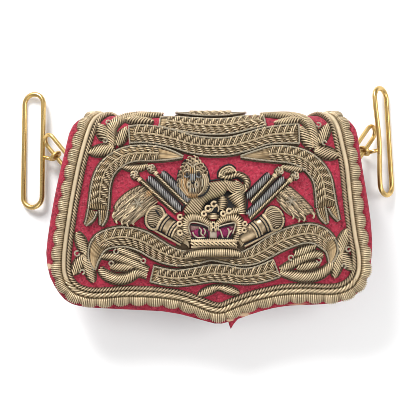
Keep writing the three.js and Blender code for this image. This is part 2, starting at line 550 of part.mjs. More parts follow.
// Points of a racetrack in the xy plane, with its long sides along y. bow pushes the middle of its +x side outwards.
function racetrack(length, width, arcSteps, bow = 0, bowSteps = 0) {
  const radius = width / 2;
  const reach = length / 2 - radius;
  const end = (sign) => Array.from({ length: arcSteps + 1 }, (_, k) => {
    const turn = (Math.PI * k) / arcSteps;
    return new THREE.Vector3(sign * radius * Math.cos(turn), sign * (reach + radius * Math.sin(turn)), 0);
  });
  const side = Array.from({ length: bowSteps }, (_, k) => {
    const along = (k + 1) / (bowSteps + 1);
    return new THREE.Vector3(radius + bow * Math.sin(Math.PI * along) ** 2, reach * (2 * along - 1), 0);
  });
  return [...end(1), ...end(-1), ...side];
}

const frameOf = (x, y, z, origin) => new THREE.Matrix4().makeBasis(x, y, z).setPosition(origin);

// A straight round bar between two points.
function bar(from, to, radius, sides = 8) {
  const geometry = new THREE.CylinderGeometry(radius, radius, from.distanceTo(to), sides);
  const turn = new THREE.Quaternion().setFromUnitVectors(new THREE.Vector3(0, 1, 0), to.clone().sub(from).normalize());
  geometry.applyQuaternion(turn).translate(...from.clone().lerp(to, 0.5));
  return toSolid(geometry);
}

// A small ring of wire round an axis.
function eye(centre, axis) {
  const geometry = new THREE.TorusGeometry(EYE_RADIUS, EYE_WIRE, 6, 12);
  geometry.applyQuaternion(new THREE.Quaternion().setFromUnitVectors(new THREE.Vector3(0, 0, 1), axis)).translate(...centre);
  return toSolid(geometry);
}

// Where each slide lies and how its ring hangs. barX and barY are the middle of the slide's outer bar, which rests on
// the ground; tilt and lean are in degrees; the ring runs from its outer end to its end in the staple.
const SIDES = table(
  ["name", "sign", "barX", "barY", "tilt", "lean", "length", "bow", "outX", "outY", "outZ", "inX", "inY", "inZ", "grip"],
  [
    ["left", -1, 106.2, 40.6, 17, 0, 64.8, 0, 92.8, 47.6, 9.2, 78, 29.5, 13, 0.52],
    ["right", 1, 101.4, 45.6, 48, 2.6, 61.2, -1.8, 92.4, 53, 5.6, 78.6, 33, 13, 0.46],
  ],
);

function hardware({ name, sign, barX, barY, tilt, lean, length, bow, outX, outY, outZ, inX, inY, inZ, grip }) {
  const radians = (degrees) => (degrees * Math.PI) / 180;
  const along = new THREE.Vector3(-sign * Math.sin(radians(lean)), Math.cos(radians(lean)), 0);
  const level = new THREE.Vector3(-sign * along.y, sign * along.x, 0);
  const inward = level.clone().multiplyScalar(Math.cos(radians(tilt))).setZ(Math.sin(radians(tilt)));
  const outerBar = new THREE.Vector3(sign * barX, barY, BAR_RADIUS);
  const centre = outerBar.clone().addScaledVector(inward, SLIDE_WIDTH / 2);
  const loop = wireLoop(
    racetrack(length, SLIDE_WIDTH, 6, bow, bow ? 5 : 0),
    BAR_RADIUS,
    8,
    frameOf(inward, along, inward.clone().cross(along), centre),
  );

  const outEnd = new THREE.Vector3(sign * outX, outY, outZ);
  const inEnd = new THREE.Vector3(sign * inX, inY, inZ);
  const run = outEnd.clone().sub(inEnd);
  const ahead = run.clone().normalize();
  const flat = new THREE.Vector3(ahead.y, -ahead.x, 0).normalize();
  if (flat.x * sign > 0) flat.negate();
  const across = flat.clone().multiplyScalar(0.62).add(new THREE.Vector3(0, 0, 0.78)).projectOnPlane(ahead).normalize();
  const ring = wireLoop(
    racetrack(run.length(), RING_WIDTH, 5),
    RING_WIRE,
    6,
    frameOf(across, ahead, across.clone().cross(ahead), inEnd.clone().addScaledVector(run, 0.5)),
  );

  const held = inEnd.clone().addScaledVector(run, grip).addScaledVector(across, -RING_WIDTH / 2);
  const shankFoot = outerBar.clone().addScaledVector(inward, SLIDE_WIDTH + bow).addScaledVector(along, held.clone().sub(outerBar).dot(along));
  const toEye = held.clone().sub(shankFoot).projectOnPlane(ahead).normalize();
  const shankHead = held.clone().addScaledVector(toEye, -EYE_RADIUS);
  const slide = loop.add(eye(held, ahead)).add(bar(shankFoot, shankHead, EYE_WIRE, 6));

  const wall = new THREE.Vector3(sign * (boxHalf(inY) - GUSSET_INSET + 1.5 * GAP), inY, inZ);
  const outside = new THREE.Vector3(sign, 0, 0);
  const flange = bar(wall, wall.clone().addScaledVector(outside, FLANGE_THICKNESS), FLANGE_RADIUS, 12);
  const neck = bar(wall.clone().addScaledVector(outside, FLANGE_THICKNESS / 2), inEnd.clone().addScaledVector(outside, -EYE_RADIUS), EYE_WIRE, 6);
  const staple = eye(inEnd, across).add(neck).add(flange);
  return [[`${name}_slide`, slide], [`${name}_ring`, ring], [`${name}_staple`, staple]];
}

// ---- Assembly -----------------------------------------------------------------------------------------------------

const pouch = new THREE.Group();

function place(name, geometry, material) {
  geometry.computeVertexNormals();
  const mesh = new THREE.Mesh(geometry, material);
  mesh.name = name;
  pouch.add(mesh);
}

// The sheet of leather loses its outer cloth past the hem, and thickens to the back.
const bare = (v) => THREE.MathUtils.clamp((v - HEM_START) / (BACK_START - HEM_START), 0, 1);
const leatherFace = (v) => -(CLOTH_THICKNESS + GAP) * (1 - bare(v));
const leatherBack = (v) => -(CLOTH_THICKNESS + GAP + LEATHER) * (1 - bare(v)) - BACK_THICKNESS * bare(v);
place("flap_and_back", sheet(SHEET_EDGES, leatherBack, leatherFace), HIDE);
place("flap_cloth", sheet(
  [...FLAP_EDGES, { v: HEM_START - 1, left: -64.5, right: 66 }],
  () => -CLOTH_THICKNESS,
  () => 0,
), CLOTH);

// The front of the box lies just under the flap.
const FRONT_FACE = -(CLOTH_THICKNESS + GAP + LEATHER + GAP);
const FRONT_BACK = FRONT_FACE - LEATHER;
const frontStops = [...new Set([
  ...BOX_ROWS.map((y) => arcAt(y, FRONT_FACE)),
  ...STATIONS.map(({ v }) => v).filter((v) => v > arcAt(BOX_BOTTOM_Y + 1, FRONT_FACE) && v < arcAt(BOX_MOUTH_Y - 1, FRONT_FACE)),
])].sort((a, b) => a - b);
place("box_front", sheet(
  frontStops.map((v) => {
    const half = boxHalf(Math.max(onFlap(0, v, FRONT_FACE).y, BOX_BOTTOM_Y));
    return { v, left: -half, right: half };
  }),
  () => FRONT_BACK,
  () => FRONT_FACE,
), HIDE);

// The gusset is one strip down one side, along the bottom and up the other side, between the front and the back.
function gusset() {
  const side = BOX_ROWS.map((y) => new THREE.Vector2(boxHalf(y), y));
  const route = [...side, ...[...side].reverse().map((point) => new THREE.Vector2(-point.x, point.y))];
  return loft(route.map((point, i) => {
    const before = route[Math.max(0, i - 1)];
    const after = route[Math.min(route.length - 1, i + 1)];
    const ahead = after.clone().sub(before).normalize();
    const at = (inset) => point.clone().add(new THREE.Vector2(ahead.y, -ahead.x).multiplyScalar(inset));
    const [outer, inner] = [at(GUSSET_INSET), at(GUSSET_INSET + LEATHER)];
    const roof = (spot) => onFlap(0, arcAt(Math.max(spot.y, BOX_BOTTOM_Y), FRONT_BACK - GAP), FRONT_BACK - GAP).z;
    const corner = (spot, z) => new THREE.Vector3(spot.x, spot.y, z);
    const floor = BACK_THICKNESS + GAP;
    return [corner(outer, floor), corner(outer, roof(outer)), corner(inner, roof(inner)), corner(inner, floor)];
  }));
}
place("box_gusset", gusset(), HIDE);

for (const [name, make, high, material] of BORDER) place(name, toGeometry(make(0, LIFT, high)), material);
PIECES.forEach(([name, make, high, material], i) => {
  const above = [["border", wholeBorder, 4], ...PIECES.slice(0, i)].map(([, makeAbove, highAbove]) => (
    makeAbove(GAP + 0.05, LIFT - 1, highAbove + 2)
  ));
  const solid = above.reduce((body, cutter) => body.subtract(cutter), make(0, LIFT, high));
  place(name, toGeometry(biggest(solid)), material);
});

for (const [name, solid] of SIDES.flatMap(hardware)) place(name, toGeometry(solid), BRASS);

export default pouch;
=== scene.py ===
"""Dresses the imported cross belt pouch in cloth, leather, bullion embroidery and brass, on a pale floor."""

import math
import random

import bmesh
import bpy
import numpy as np
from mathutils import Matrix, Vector, noise


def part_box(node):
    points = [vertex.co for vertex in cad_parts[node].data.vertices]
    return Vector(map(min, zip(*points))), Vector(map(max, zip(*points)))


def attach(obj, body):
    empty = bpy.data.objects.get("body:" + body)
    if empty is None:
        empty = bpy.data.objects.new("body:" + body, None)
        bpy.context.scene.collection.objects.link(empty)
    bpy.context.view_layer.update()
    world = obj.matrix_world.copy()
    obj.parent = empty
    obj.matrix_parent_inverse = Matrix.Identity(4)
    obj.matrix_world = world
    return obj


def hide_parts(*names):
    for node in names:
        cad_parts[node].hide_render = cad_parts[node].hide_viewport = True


bl_info = {
    "name": "Cross Belt Pouch",
    "version": (1, 0, 0),
    "blender": (4, 5, 0),
    "location": "3D View > Sidebar > Pouch",
    "description": "Dresses a full dress cross belt pouch with cloth, leather, bullion embroidery and brass",
    "category": "Object",
}

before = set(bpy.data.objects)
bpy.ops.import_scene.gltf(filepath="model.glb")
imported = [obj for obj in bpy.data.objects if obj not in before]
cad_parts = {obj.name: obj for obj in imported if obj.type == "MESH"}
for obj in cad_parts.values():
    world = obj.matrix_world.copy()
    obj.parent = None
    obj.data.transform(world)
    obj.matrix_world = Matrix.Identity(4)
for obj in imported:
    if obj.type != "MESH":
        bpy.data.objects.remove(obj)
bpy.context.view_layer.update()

MM = 0.001
DRAW = random.Random(7)  # every uneven tone, height and turn, in the order of the operators
# The second finish colours the pads under the threads, and also the dark threads laid as painted shade at the
# edges of raised work.
SURFACE, FILLING_AND_SHADE = 0, 1  # the first two finishes of a piece


def clamp(share):
    return min(max(share, 0.0), 1.0)


# -------------------------------------------------------------------------------------------------
# The flap's face. Places on it are in millimetres: u across, v along it from tip to fold, h above it.

CLOTH_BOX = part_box("flap_cloth")
FOLD_RADIUS = 15.0
FACE_RADIUS = 450.0
FOLD_START = 44.0
FLAP_TOP = CLOTH_BOX[1].z / MM
FOLD_Y = CLOTH_BOX[1].y / MM - FOLD_RADIUS
HEM_RADIUS = 4.0
CLOTH_THICKNESS = 1.0
LEATHER_THICKNESS = 2.0
BACK_THICKNESS = 2.5
SEAM = 0.3
QUARTER = math.pi / 2
DROP_START = FOLD_START + QUARTER * FOLD_RADIUS
HEM_START = DROP_START + FLAP_TOP - FOLD_RADIUS - HEM_RADIUS
BACK_START = HEM_START + QUARTER * HEM_RADIUS
BACK_Y = FOLD_Y + FOLD_RADIUS - HEM_RADIUS
WAVE, WAVE_LENGTH, WAVE_FADE = 0.3, 34.0, 20.0  # unevenness of the worn flap, which dies out before the drop


def profile(v):
    """Place and outward normal of the face at arc length v, in the plane x = 0."""
    if v <= FOLD_START:
        turn = (FOLD_START - v) / FACE_RADIUS
        y = FOLD_Y - FACE_RADIUS * math.sin(turn)
        z = FLAP_TOP - FACE_RADIUS * (1 - math.cos(turn))
        return y, z, -math.sin(turn), math.cos(turn)
    if v <= HEM_START:
        turn = min((v - FOLD_START) / FOLD_RADIUS, QUARTER)
        ny, nz = math.sin(turn), math.cos(turn)
        top = FLAP_TOP - FOLD_RADIUS - max(0.0, v - DROP_START)
        return FOLD_Y + FOLD_RADIUS * ny, top + FOLD_RADIUS * nz, ny, nz
    turn = min((v - HEM_START) / HEM_RADIUS, QUARTER)
    y = BACK_Y - max(0.0, v - BACK_START)
    ny, nz = math.cos(turn), -math.sin(turn)
    return y + HEM_RADIUS * ny, HEM_RADIUS + HEM_RADIUS * nz, ny, nz


def on_flap(u, v, h=0.0):
    """The place h above the face, with the slight unevenness of worn leather."""
    y, z, ny, nz = profile(v)
    cloud = noise.noise(Vector((u / WAVE_LENGTH, v / WAVE_LENGTH, 3.0)))
    swell = WAVE * cloud * clamp((DROP_START - v) / WAVE_FADE)
    return Vector((u, y + ny * (h + swell), z + nz * (h + swell))) * MM


class Route:
    """A smooth line on the flap through charted points. The third column is half the width."""

    SAMPLES = 12
    NEAR = 0.6

    def __init__(self, rows):
        points = np.array([tuple(row) + (1.0,) * (3 - len(row)) for row in rows], float)
        padded = np.vstack([2 * points[0] - points[1], points, 2 * points[-1] - points[-2]])
        t = np.linspace(0, 1, self.SAMPLES, endpoint=False)[:, None]
        runs = []
        for a, b, c, d in zip(padded, padded[1:], padded[2:], padded[3:]):
            square, cube = 2 * a - 5 * b + 4 * c - d, 3 * b - a - 3 * c + d
            runs.append(0.5 * (2 * b + (c - a) * t + square * t**2 + cube * t**3))
        self.points = np.vstack([*runs, points[-1]])
        steps = np.hypot(*np.diff(self.points[:, :2], axis=0).T)
        self.distance = np.concatenate([[0], np.cumsum(steps)])
        self.length = self.distance[-1]
        self.widest = float(max(self.points[:, 2]))

    def half(self, s):
        """Half of the width at distance s."""
        return np.interp(s, self.distance, self.points[:, 2])

    def at(self, s):
        return [np.interp(s, self.distance, self.points[:, axis]) for axis in (0, 1)]

    def spot(self, s, offset=0.0):
        """Place at distance s, moved aside to the left of the line."""
        u, v = self.at(s)
        (u0, v0), (u1, v1) = (self.at(np.clip(s + step, 0, self.length)) for step in (-self.NEAR, self.NEAR))
        du, dv = u1 - u0, v1 - v0
        size = np.hypot(du, dv)
        return u - dv / size * offset, v + du / size * offset

    def spots(self, s, offset=0.0, h=0.0):
        """(u, v, h) spots at distances s, moved aside and at height h."""
        u, v = self.spot(s, offset)
        return list(zip(u, v, np.broadcast_to(h, u.shape)))

    def side(self, offset, step=2.5):
        """The line beside this one."""
        s = np.linspace(0, self.length, max(2, int(self.length / step) + 1))
        return Route(list(zip(*self.spot(s, offset))))


# -------------------------------------------------------------------------------------------------
# Pieces


class Piece:
    """Collects the solids and threads of one piece, then makes them one object. Takes its finishes' names."""

    def __init__(self, name, *finishes):
        self.name, self.finishes = name, finishes
        self.solids = bmesh.new()
        self.solids.verts.layers.float.new("tone")
        self.threads = {}

    def index(self, material):
        """Place of a finish in the piece's list. SURFACE and FILLING_AND_SHADE are places already."""
        return self.finishes.index(material) if isinstance(material, str) else material

    def thread(self, points, radii, tone=0.5, material=SURFACE, sides=6, closed=False):
        """One round thread through places in metres. radii are in millimetres; tone is 0 to 1."""
        key = (self.index(material), sides, closed)
        self.threads.setdefault(key, []).append((points, radii, tone))

    def on_face(self, spots, radius, tone=0.5, **options):
        """A thread through (u, v, h) spots on the flap."""
        self.thread([on_flap(*spot) for spot in spots], radius, tone, **options)

    def add_threads(self, key):
        material, sides, closed = key
        curve = bpy.data.curves.new("threads", "CURVE")
        curve.dimensions = "3D"
        curve.bevel_depth = MM
        curve.bevel_resolution = (sides - 4) // 2
        tones = []
        for points, radii, tone in self.threads[key]:
            spline = curve.splines.new("POLY")
            spline.points.add(len(points) - 1)
            spline.use_cyclic_u = closed
            places = np.ones((len(points), 4))
            places[:, :3] = points
            spline.points.foreach_set("co", places.ravel())
            spline.points.foreach_set("radius", np.broadcast_to(radii, len(points)).astype(float))
            tones.append(np.repeat(np.broadcast_to(tone, len(points)), sides))
        holder = bpy.data.objects.new("threads", curve)
        bpy.context.scene.collection.objects.link(holder)
        mesh = bpy.data.meshes.new_from_object(holder.evaluated_get(bpy.context.evaluated_depsgraph_get()))
        tones = np.concatenate(tones)
        if len(tones) != len(mesh.vertices):
            raise RuntimeError(f"{self.name}: {len(mesh.vertices)} vertices for {len(tones)} tones")
        mesh.attributes.new("tone", "FLOAT", "POINT").data.foreach_set("value", tones)
        tubes = bmesh.new()
        tubes.from_mesh(mesh)
        bmesh.ops.holes_fill(tubes, edges=[edge for edge in tubes.edges if edge.is_boundary], sides=sides)
        for face in tubes.faces:
            face.material_index = material
        tubes.to_mesh(mesh)
        tubes.free()
        self.solids.from_mesh(mesh)
        bpy.data.objects.remove(holder)
        bpy.data.curves.remove(curve)
        bpy.data.meshes.remove(mesh)

    def shell(self, faces, material, place, tone=None):
        """Thickens flat faces into a closed body. place(x, y, z) puts its points: z is 0 out, -1 in."""
        bmesh.ops.recalc_face_normals(self.solids, faces=faces)
        grown = bmesh.ops.solidify(self.solids, geom=faces, thickness=1)["geom"]
        faces = {*faces, *(part for part in grown if isinstance(part, bmesh.types.BMFace))}
        vertices = {vertex for face in faces for vertex in face.verts}
        outside = max(vertex.co.z for vertex in vertices)
        layer = self.solids.verts.layers.float["tone"]
        for vertex in vertices:
            x, y, z = vertex.co.x, vertex.co.y, vertex.co.z - outside
            vertex[layer] = tone(x, y) if tone else 0.5
            vertex.co = place(x, y, z)
        bmesh.ops.recalc_face_normals(self.solids, faces=self.paint(vertices, material))

    def paint(self, vertices, material):
        """Gives the faces around the vertices their finish."""
        faces = list({face for vertex in vertices for face in vertex.link_faces})
        for face in faces:
            face.material_index = self.index(material)
        return faces

    def ball(self, u, v, h, shape, material, tone=0.8):
        """A small ball at a place on the flap. shape gives its half sizes in millimetres."""
        before = set(self.solids.verts)
        bmesh.ops.create_uvsphere(self.solids, u_segments=12, v_segments=8, radius=MM)
        made = [vertex for vertex in self.solids.verts if vertex not in before]
        bmesh.ops.scale(self.solids, verts=made, vec=shape)
        bmesh.ops.translate(self.solids, verts=made, vec=on_flap(u, v, h))
        self.paint(made, material)
        for vertex in made:
            vertex[self.solids.verts.layers.float["tone"]] = tone

    def done(self, slot, *nodes):
        """Makes the object, which rides on the root body and stands for the CAD nodes that it names."""
        for key in self.threads:
            self.add_threads(key)
        mesh = bpy.data.meshes.new(self.name)
        self.solids.to_mesh(mesh)
        self.solids.free()
        mesh.polygons.foreach_set("use_smooth", [True] * len(mesh.polygons))
        for name in self.finishes:
            mesh.materials.append(finish(name))
        piece = bpy.data.objects.new(self.name, mesh)
        bpy.context.scene.collection.objects.link(piece)
        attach(piece, "root")
        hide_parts(*nodes)
        return piece


def jitter(amount):
    return 1 + amount * (2 * DRAW.random() - 1)


LOWERING = 0.6  # a narrow stretch of a route lies lower by its share of the widest, to this power
SHORTEST = 0.25  # the least part of its full length that a slanted thread keeps at a route's ends


def satin(piece, route, pitch, radius, lean, low, high, edges=None, steps=5, tone=0.6, spread=0.3,
          material=SURFACE, sides=6):
    """Parallel threads across a route, pitch apart, at height low at their ends and high in their middle.

    lean slants them forwards. edges(s) gives their two ends, and without it they reach the route's edges.
    """
    pitch *= math.hypot(1, lean)
    count = max(1, round(route.length / pitch))
    extra = 0 if edges else int(abs(lean) * route.widest / pitch)
    for i in range(-extra, count + extra):
        middle = (i + 0.5) * route.length / count
        half = float(route.half(np.clip(middle, 0, route.length)))
        slope = lean * half
        ends = sorted((-middle / slope, (route.length - middle) / slope)) if slope else (-1, 1)
        first, last = max(-1, ends[0]), min(1, ends[1])
        if last - first < SHORTEST:
            continue
        t = np.linspace(first, last, steps)
        along = middle + slope * t
        if edges:
            left, right = edges(along)
            offset = (left + right) / 2 + t * (right - left) / 2
        else:
            offset = t * np.maximum(route.half(along) - radius * 0.6, 0.1)
        rise = 1 if edges else min(1.0, (half / route.widest) ** LOWERING)
        h = low + (high - low) * rise * (1 - t**2) ** 0.5
        tint = tone + spread * (DRAW.random() - 0.5)
        piece.on_face(
            route.spots(along, offset, h), radius * jitter(0.07), tint, material=material, sides=sides,
        )


def padding(piece, route, low, high, reach=None, step=2.0, across=6, arch=0.5, inset=0.0, material=FILLING_AND_SHADE):
    """A domed pad under a route's threads, closed underneath. reach(s) gives its two edges."""

    def place(x, y, z):
        s = inset + (x + 1) / 2 * (route.length - 2 * inset)
        half = float(route.half(s)) - inset
        left, right = reach(s) if reach else (-half, half)
        u, v = route.spot(s, (left + right) / 2 + y * (right - left) / 2)
        rise = 1 if reach else min(1.0, max(half / route.widest, 0) ** LOWERING)
        top = low + 0.1 + (high - low - 0.1) * rise * max(0.0, 1 - y * y) ** arch
        return on_flap(float(u), float(v), low if z < -0.5 else top)

    slab(piece, max(2, int((route.length - 2 * inset) / step)), across, place, material)


def cord(piece, spots, radius, pitch, tone, material=SURFACE, spread=0.1):
    """A cord of two twisted plies through (u, v, h) spots, one turn to each pitch."""
    route = np.array(list(spots), float)
    steps = np.linalg.norm(np.diff(route, axis=0), axis=1)
    distance = np.concatenate([[0], np.cumsum(steps)])
    s = np.arange(0, distance[-1], pitch / 6)
    if len(s) < 3:
        return
    u, v, h = (np.interp(s, distance, route[:, k]) for k in range(3))
    du, dv = np.gradient(u), np.gradient(v)
    size = np.hypot(du, dv) + 1e-9
    for ply in (0, 1):
        turn = 2 * math.pi * (s / pitch + ply / 2)
        aside, up = radius * 0.5 * np.cos(turn), radius * 0.5 * np.sin(turn)
        places = zip(u - dv / size * aside, v + du / size * aside, h + up)
        piece.on_face(
            places, radius * 0.56, tone + spread * (DRAW.random() - 0.5), material=material, sides=4,
        )


# -------------------------------------------------------------------------------------------------
# Shader maths


class Socket:
    """Wraps a node's output so that sums and products add Math nodes."""

    def __init__(self, tree, link):
        self.tree, self.link = tree, link

    def math(self, operation, other, swap=False):
        pair = (other, self) if swap else (self, other)
        return self.tree.node("ShaderNodeMath", {"operation": operation}, dict(enumerate(pair)))

    def __add__(self, other):
        return self.math("ADD", other)

    __radd__ = __add__

    def __mul__(self, other):
        return self.math("MULTIPLY", other)

    __rmul__ = __mul__

    def __sub__(self, other):
        return self.math("SUBTRACT", other)

    def __rsub__(self, other):
        return self.math("SUBTRACT", other, swap=True)

    def clip(self, low, high):
        """Stretches low to high over 0 to 1."""
        return self.tree.node(
            "ShaderNodeMapRange", {"clamp": True}, {"Value": self, "From Min": low, "From Max": high},
        )


class Finish:
    """A material under construction. Colours are linear."""

    def __init__(self, name):
        self.material = bpy.data.materials.new(name)
        self.material.use_nodes = True
        self.nodes = self.material.node_tree.nodes
        self.links = self.material.node_tree.links
        self.shader = self.nodes["Principled BSDF"]
        self.place = self.node("ShaderNodeTexCoord", output="Object")

    def feed(self, target, value):
        if isinstance(value, Socket):
            self.links.new(value.link, target)
        elif isinstance(value, tuple) and target.type == "RGBA":
            target.default_value = (*value, 1)
        else:
            target.default_value = value

    def node(self, kind, settings=None, inputs=None, output=0):
        """Adds a node: its settings first, then its sockets' values or links. Gives one of its outputs."""
        node = self.nodes.new(kind)
        for key, value in (settings or {}).items():
            setattr(node, key, value)
        for key, value in (inputs or {}).items():
            self.feed(node.inputs[key], value)
        return Socket(self, node.outputs[output])

    def noise(self, scale, detail=3.0, roughness=0.55):
        """Cloudy values from 0 to 1. scale is in patches to a metre."""
        inputs = {"Vector": self.place, "Scale": scale, "Detail": detail, "Roughness": roughness}
        return self.node("ShaderNodeTexNoise", inputs=inputs, output="Fac")

    def cells(self, scale):
        return self.node(
            "ShaderNodeTexVoronoi", inputs={"Vector": self.place, "Scale": scale}, output="Distance",
        )

    def value(self, name):
        return self.node("ShaderNodeAttribute", {"attribute_name": name}, output="Fac")

    def mix(self, factor, first, second):
        return self.node("ShaderNodeMix", {"data_type": "RGBA"}, {0: factor, 6: first, 7: second}, 2)

    def bump(self, height, strength, distance):
        inputs = {"Height": height, "Strength": strength, "Distance": distance}
        self.feed(self.shader.inputs["Normal"], self.node("ShaderNodeBump", inputs=inputs))

    def done(self, **sockets):
        for name, value in sockets.items():
            self.feed(self.shader.inputs[name.replace("_", " ")], value)
        return self.material


def bullion(name, dark, light, metallic=0.55, roughness=0.38):
    """Metal thread: the tone of each thread, patches of tarnish and a fine wrapped grain."""
    finish = Finish(name)
    tarnish = finish.noise(110, 4).clip(0.4, 0.75)
    grain = finish.noise(5200, 2)
    colour = finish.mix((finish.value("tone") + grain * 0.4 - 0.2).clip(0.0, 1.0), dark, light)
    colour = finish.mix(tarnish * 0.5, colour, tuple(0.45 * b for b in light))
    finish.bump(grain, 0.5, 0.00012)
    return finish.done(Base_Color=colour, Metallic=metallic, Roughness=tarnish * 0.2 + roughness)


def cloth_finish(name, colour, deep, light):
    """Fulled wool: a felted nap, rubbed lighter in places, with its backing bare where the tone is high."""
    finish = Finish(name)
    felt = finish.noise(2600, 5, 0.7)
    cloud = finish.noise(60, 4).clip(0.3, 0.7)
    nap = finish.noise(620, 4, 0.75)
    pits = finish.noise(760, 4, 0.75).clip(0.48, 0.62)
    colour = finish.mix(cloud * 0.3 + pits * 0.7, colour, deep)
    colour = finish.mix(nap.clip(0.5, 0.68) * 0.52, colour, light)
    colour = finish.mix(finish.value("tone").clip(0.6, 0.8), colour, (0.66, 0.46, 0.3))
    finish.bump(felt + nap, 0.6, 0.0004)
    return finish.done(Base_Color=colour, Roughness=0.92, Sheen_Weight=0.06, Sheen_Roughness=0.5)


def leather_finish(name, colour, worn, rim):
    """Grained leather, rubbed paler in patches, pale where the cloth is gone."""
    finish = Finish(name)
    grain = finish.cells(900)
    patches = finish.noise(75, 4)
    hide = finish.mix(patches.clip(0.45, 0.8) * 0.6, colour, worn)
    finish.bump(grain + finish.noise(2400, 3) * 0.4, 0.35, 0.00025)
    return finish.done(
        Base_Color=finish.mix(finish.value("tone").clip(0.6, 0.9), hide, rim),
        Roughness=patches * 0.25 + 0.4,
    )


def metal_finish(name, colour, shade, roughness, stains, metallic=1.0):
    finish = Finish(name)
    tarnish = finish.noise(140, 4).clip(0.45, 0.8)
    scratches = finish.noise(3000, 2)
    finish.bump(scratches, 0.12, 0.00006)
    return finish.done(
        Base_Color=finish.mix(tarnish * stains, colour, shade), Metallic=metallic,
        Roughness=tarnish * 0.2 + scratches * 0.08 + roughness)


def velvet_finish(name, colour, light):
    finish = Finish(name)
    pile = finish.noise(1800, 3)
    finish.bump(pile, 0.6, 0.0004)
    return finish.done(
        Base_Color=finish.mix(pile.clip(0.35, 0.7), colour, light), Roughness=0.9, Sheen_Weight=0.15,
    )


def floor_finish(name, colour):
    finish = Finish(name)
    return finish.done(
        Base_Color=finish.mix(finish.noise(6, 2) * 0.04, colour, (0.7, 0.7, 0.7)), Roughness=0.85,
    )


FINISHES = {
    "gilt": (bullion, (0.15, 0.104, 0.052), "gilt", 0.5),
    "dull": (bullion, (0.075, 0.052, 0.028), (0.62, 0.48, 0.31), 0.42, 0.44),
    "ground": (bullion, (0.085, 0.054, 0.024), (0.72, 0.53, 0.3), 0.5),
    "silver": (bullion, (0.11, 0.092, 0.066), (0.6, 0.52, 0.385), 0.5, 0.4),
    "tan": (bullion, (0.12, 0.06, 0.022), (0.6, 0.37, 0.17), 0.3, 0.5),
    "grey": (bullion, (0.02, 0.02, 0.021), (0.42, 0.405, 0.39), 0.45, 0.42),
    "steel": (bullion, (0.06, 0.07, 0.08), (0.42, 0.45, 0.46), 0.5, 0.4),
    # The pads under the threads are dark, so the gaps between strands show as painted shade.
    "padding": (bullion, (0.04, 0.026, 0.014), (0.13, 0.088, 0.048), 0.0, 0.85),
    "core": (bullion, (0.13, 0.092, 0.05), (0.36, 0.27, 0.155), 0.1, 0.7),
    "plate": (metal_finish, (0.46, 0.35, 0.22), (0.06, 0.04, 0.026), 0.38, 2.2),
    "strip": (bullion, (0.36, 0.27, 0.165), (0.78, 0.635, 0.42), 0.2, 0.5),
    "jewel": (metal_finish, (0.4, 0.33, 0.25), (0.2, 0.17, 0.16), 0.6, 0.8, 0.1),
    "black": (bullion, (0.003, 0.003, 0.003), (0.012, 0.012, 0.013), 0.0, 0.75),
    "bead": (metal_finish, (0.003, 0.003, 0.004), (0.002, 0.002, 0.002), 0.4, 0.0, 0.0),
    "velvet": (velvet_finish, (0.09, 0.003, 0.03), "velvet"),
    "rubbed": (velvet_finish, (0.17, 0.08, 0.075), (0.3, 0.17, 0.155)),
    "cloth": (cloth_finish, "cloth", (0.1, 0.004, 0.012), (0.6, 0.1, 0.14)),
    "leather": (leather_finish, "leather", (0.2, 0.03, 0.035), (0.62, 0.45, 0.33)),
    "brass": (metal_finish, "brass", (0.4, 0.25, 0.08), 0.24, 0.6),
    "floor": (floor_finish, (0.96, 0.96, 0.96)),
}
_made = {}


def finish(name):
    """A finish by name, made once. A word among its values is one of the pouch's colours."""
    if name not in _made:
        make, *values = FINISHES[name]
        values = [tuple(getattr(colours(), value)) if isinstance(value, str) else value for value in values]
        _made[name] = make(name, *values)
    return _made[name]


# -------------------------------------------------------------------------------------------------
# Charts, in millimetres on the flap. A route's third column is half its width.

FLAP_EDGES = [
    (-56.3, 2, 6), (-55, -3, 11), (-53, -10, 17), (-51, -17.5, 22.5), (-49.5, -27, 27.5), (-48.6, -46, 31),
    (-47.5, -67, 35.5), (-46.4, -73, 44), (-45.8, -75, 61), (-44.8, -77, 69), (-43, -79.5, 75),
    (-40, -82, 79.3), (-36, -84.6, 82.3), (-31, -87, 84.6), (-25, -88.4, 86.2), (-18, -89, 87),
    (-10, -88.2, 87), (0, -86.7, 86.2), (10, -85, 84.8), (20, -83, 83.2), (28, -81.3, 81.9),
    (36, -79.4, 80.8), (44, -77.6, 79.8), (47, -77, 79.3), (50, -76, 78.7), (53, -75, 77.5), (56, -73.2, 76),
    (59, -70.2, 73.8), (62, -67.8, 71.3), (65, -66.4, 69.3), (67.56, -65.5, 68), (76, -64.8, 66.6),
    (84.1, -64.5, 66),
]
BOX_HALF_TOP, BOX_HALF_BOTTOM, BOX_MOUTH_Y, BOX_BOTTOM_Y, BOX_CORNER = 70.0, 73.0, 46.0, -37.0, 14.0
GUSSET_INSET = 0.8
BACK_END = BACK_START + BACK_Y - BOX_BOTTOM_Y

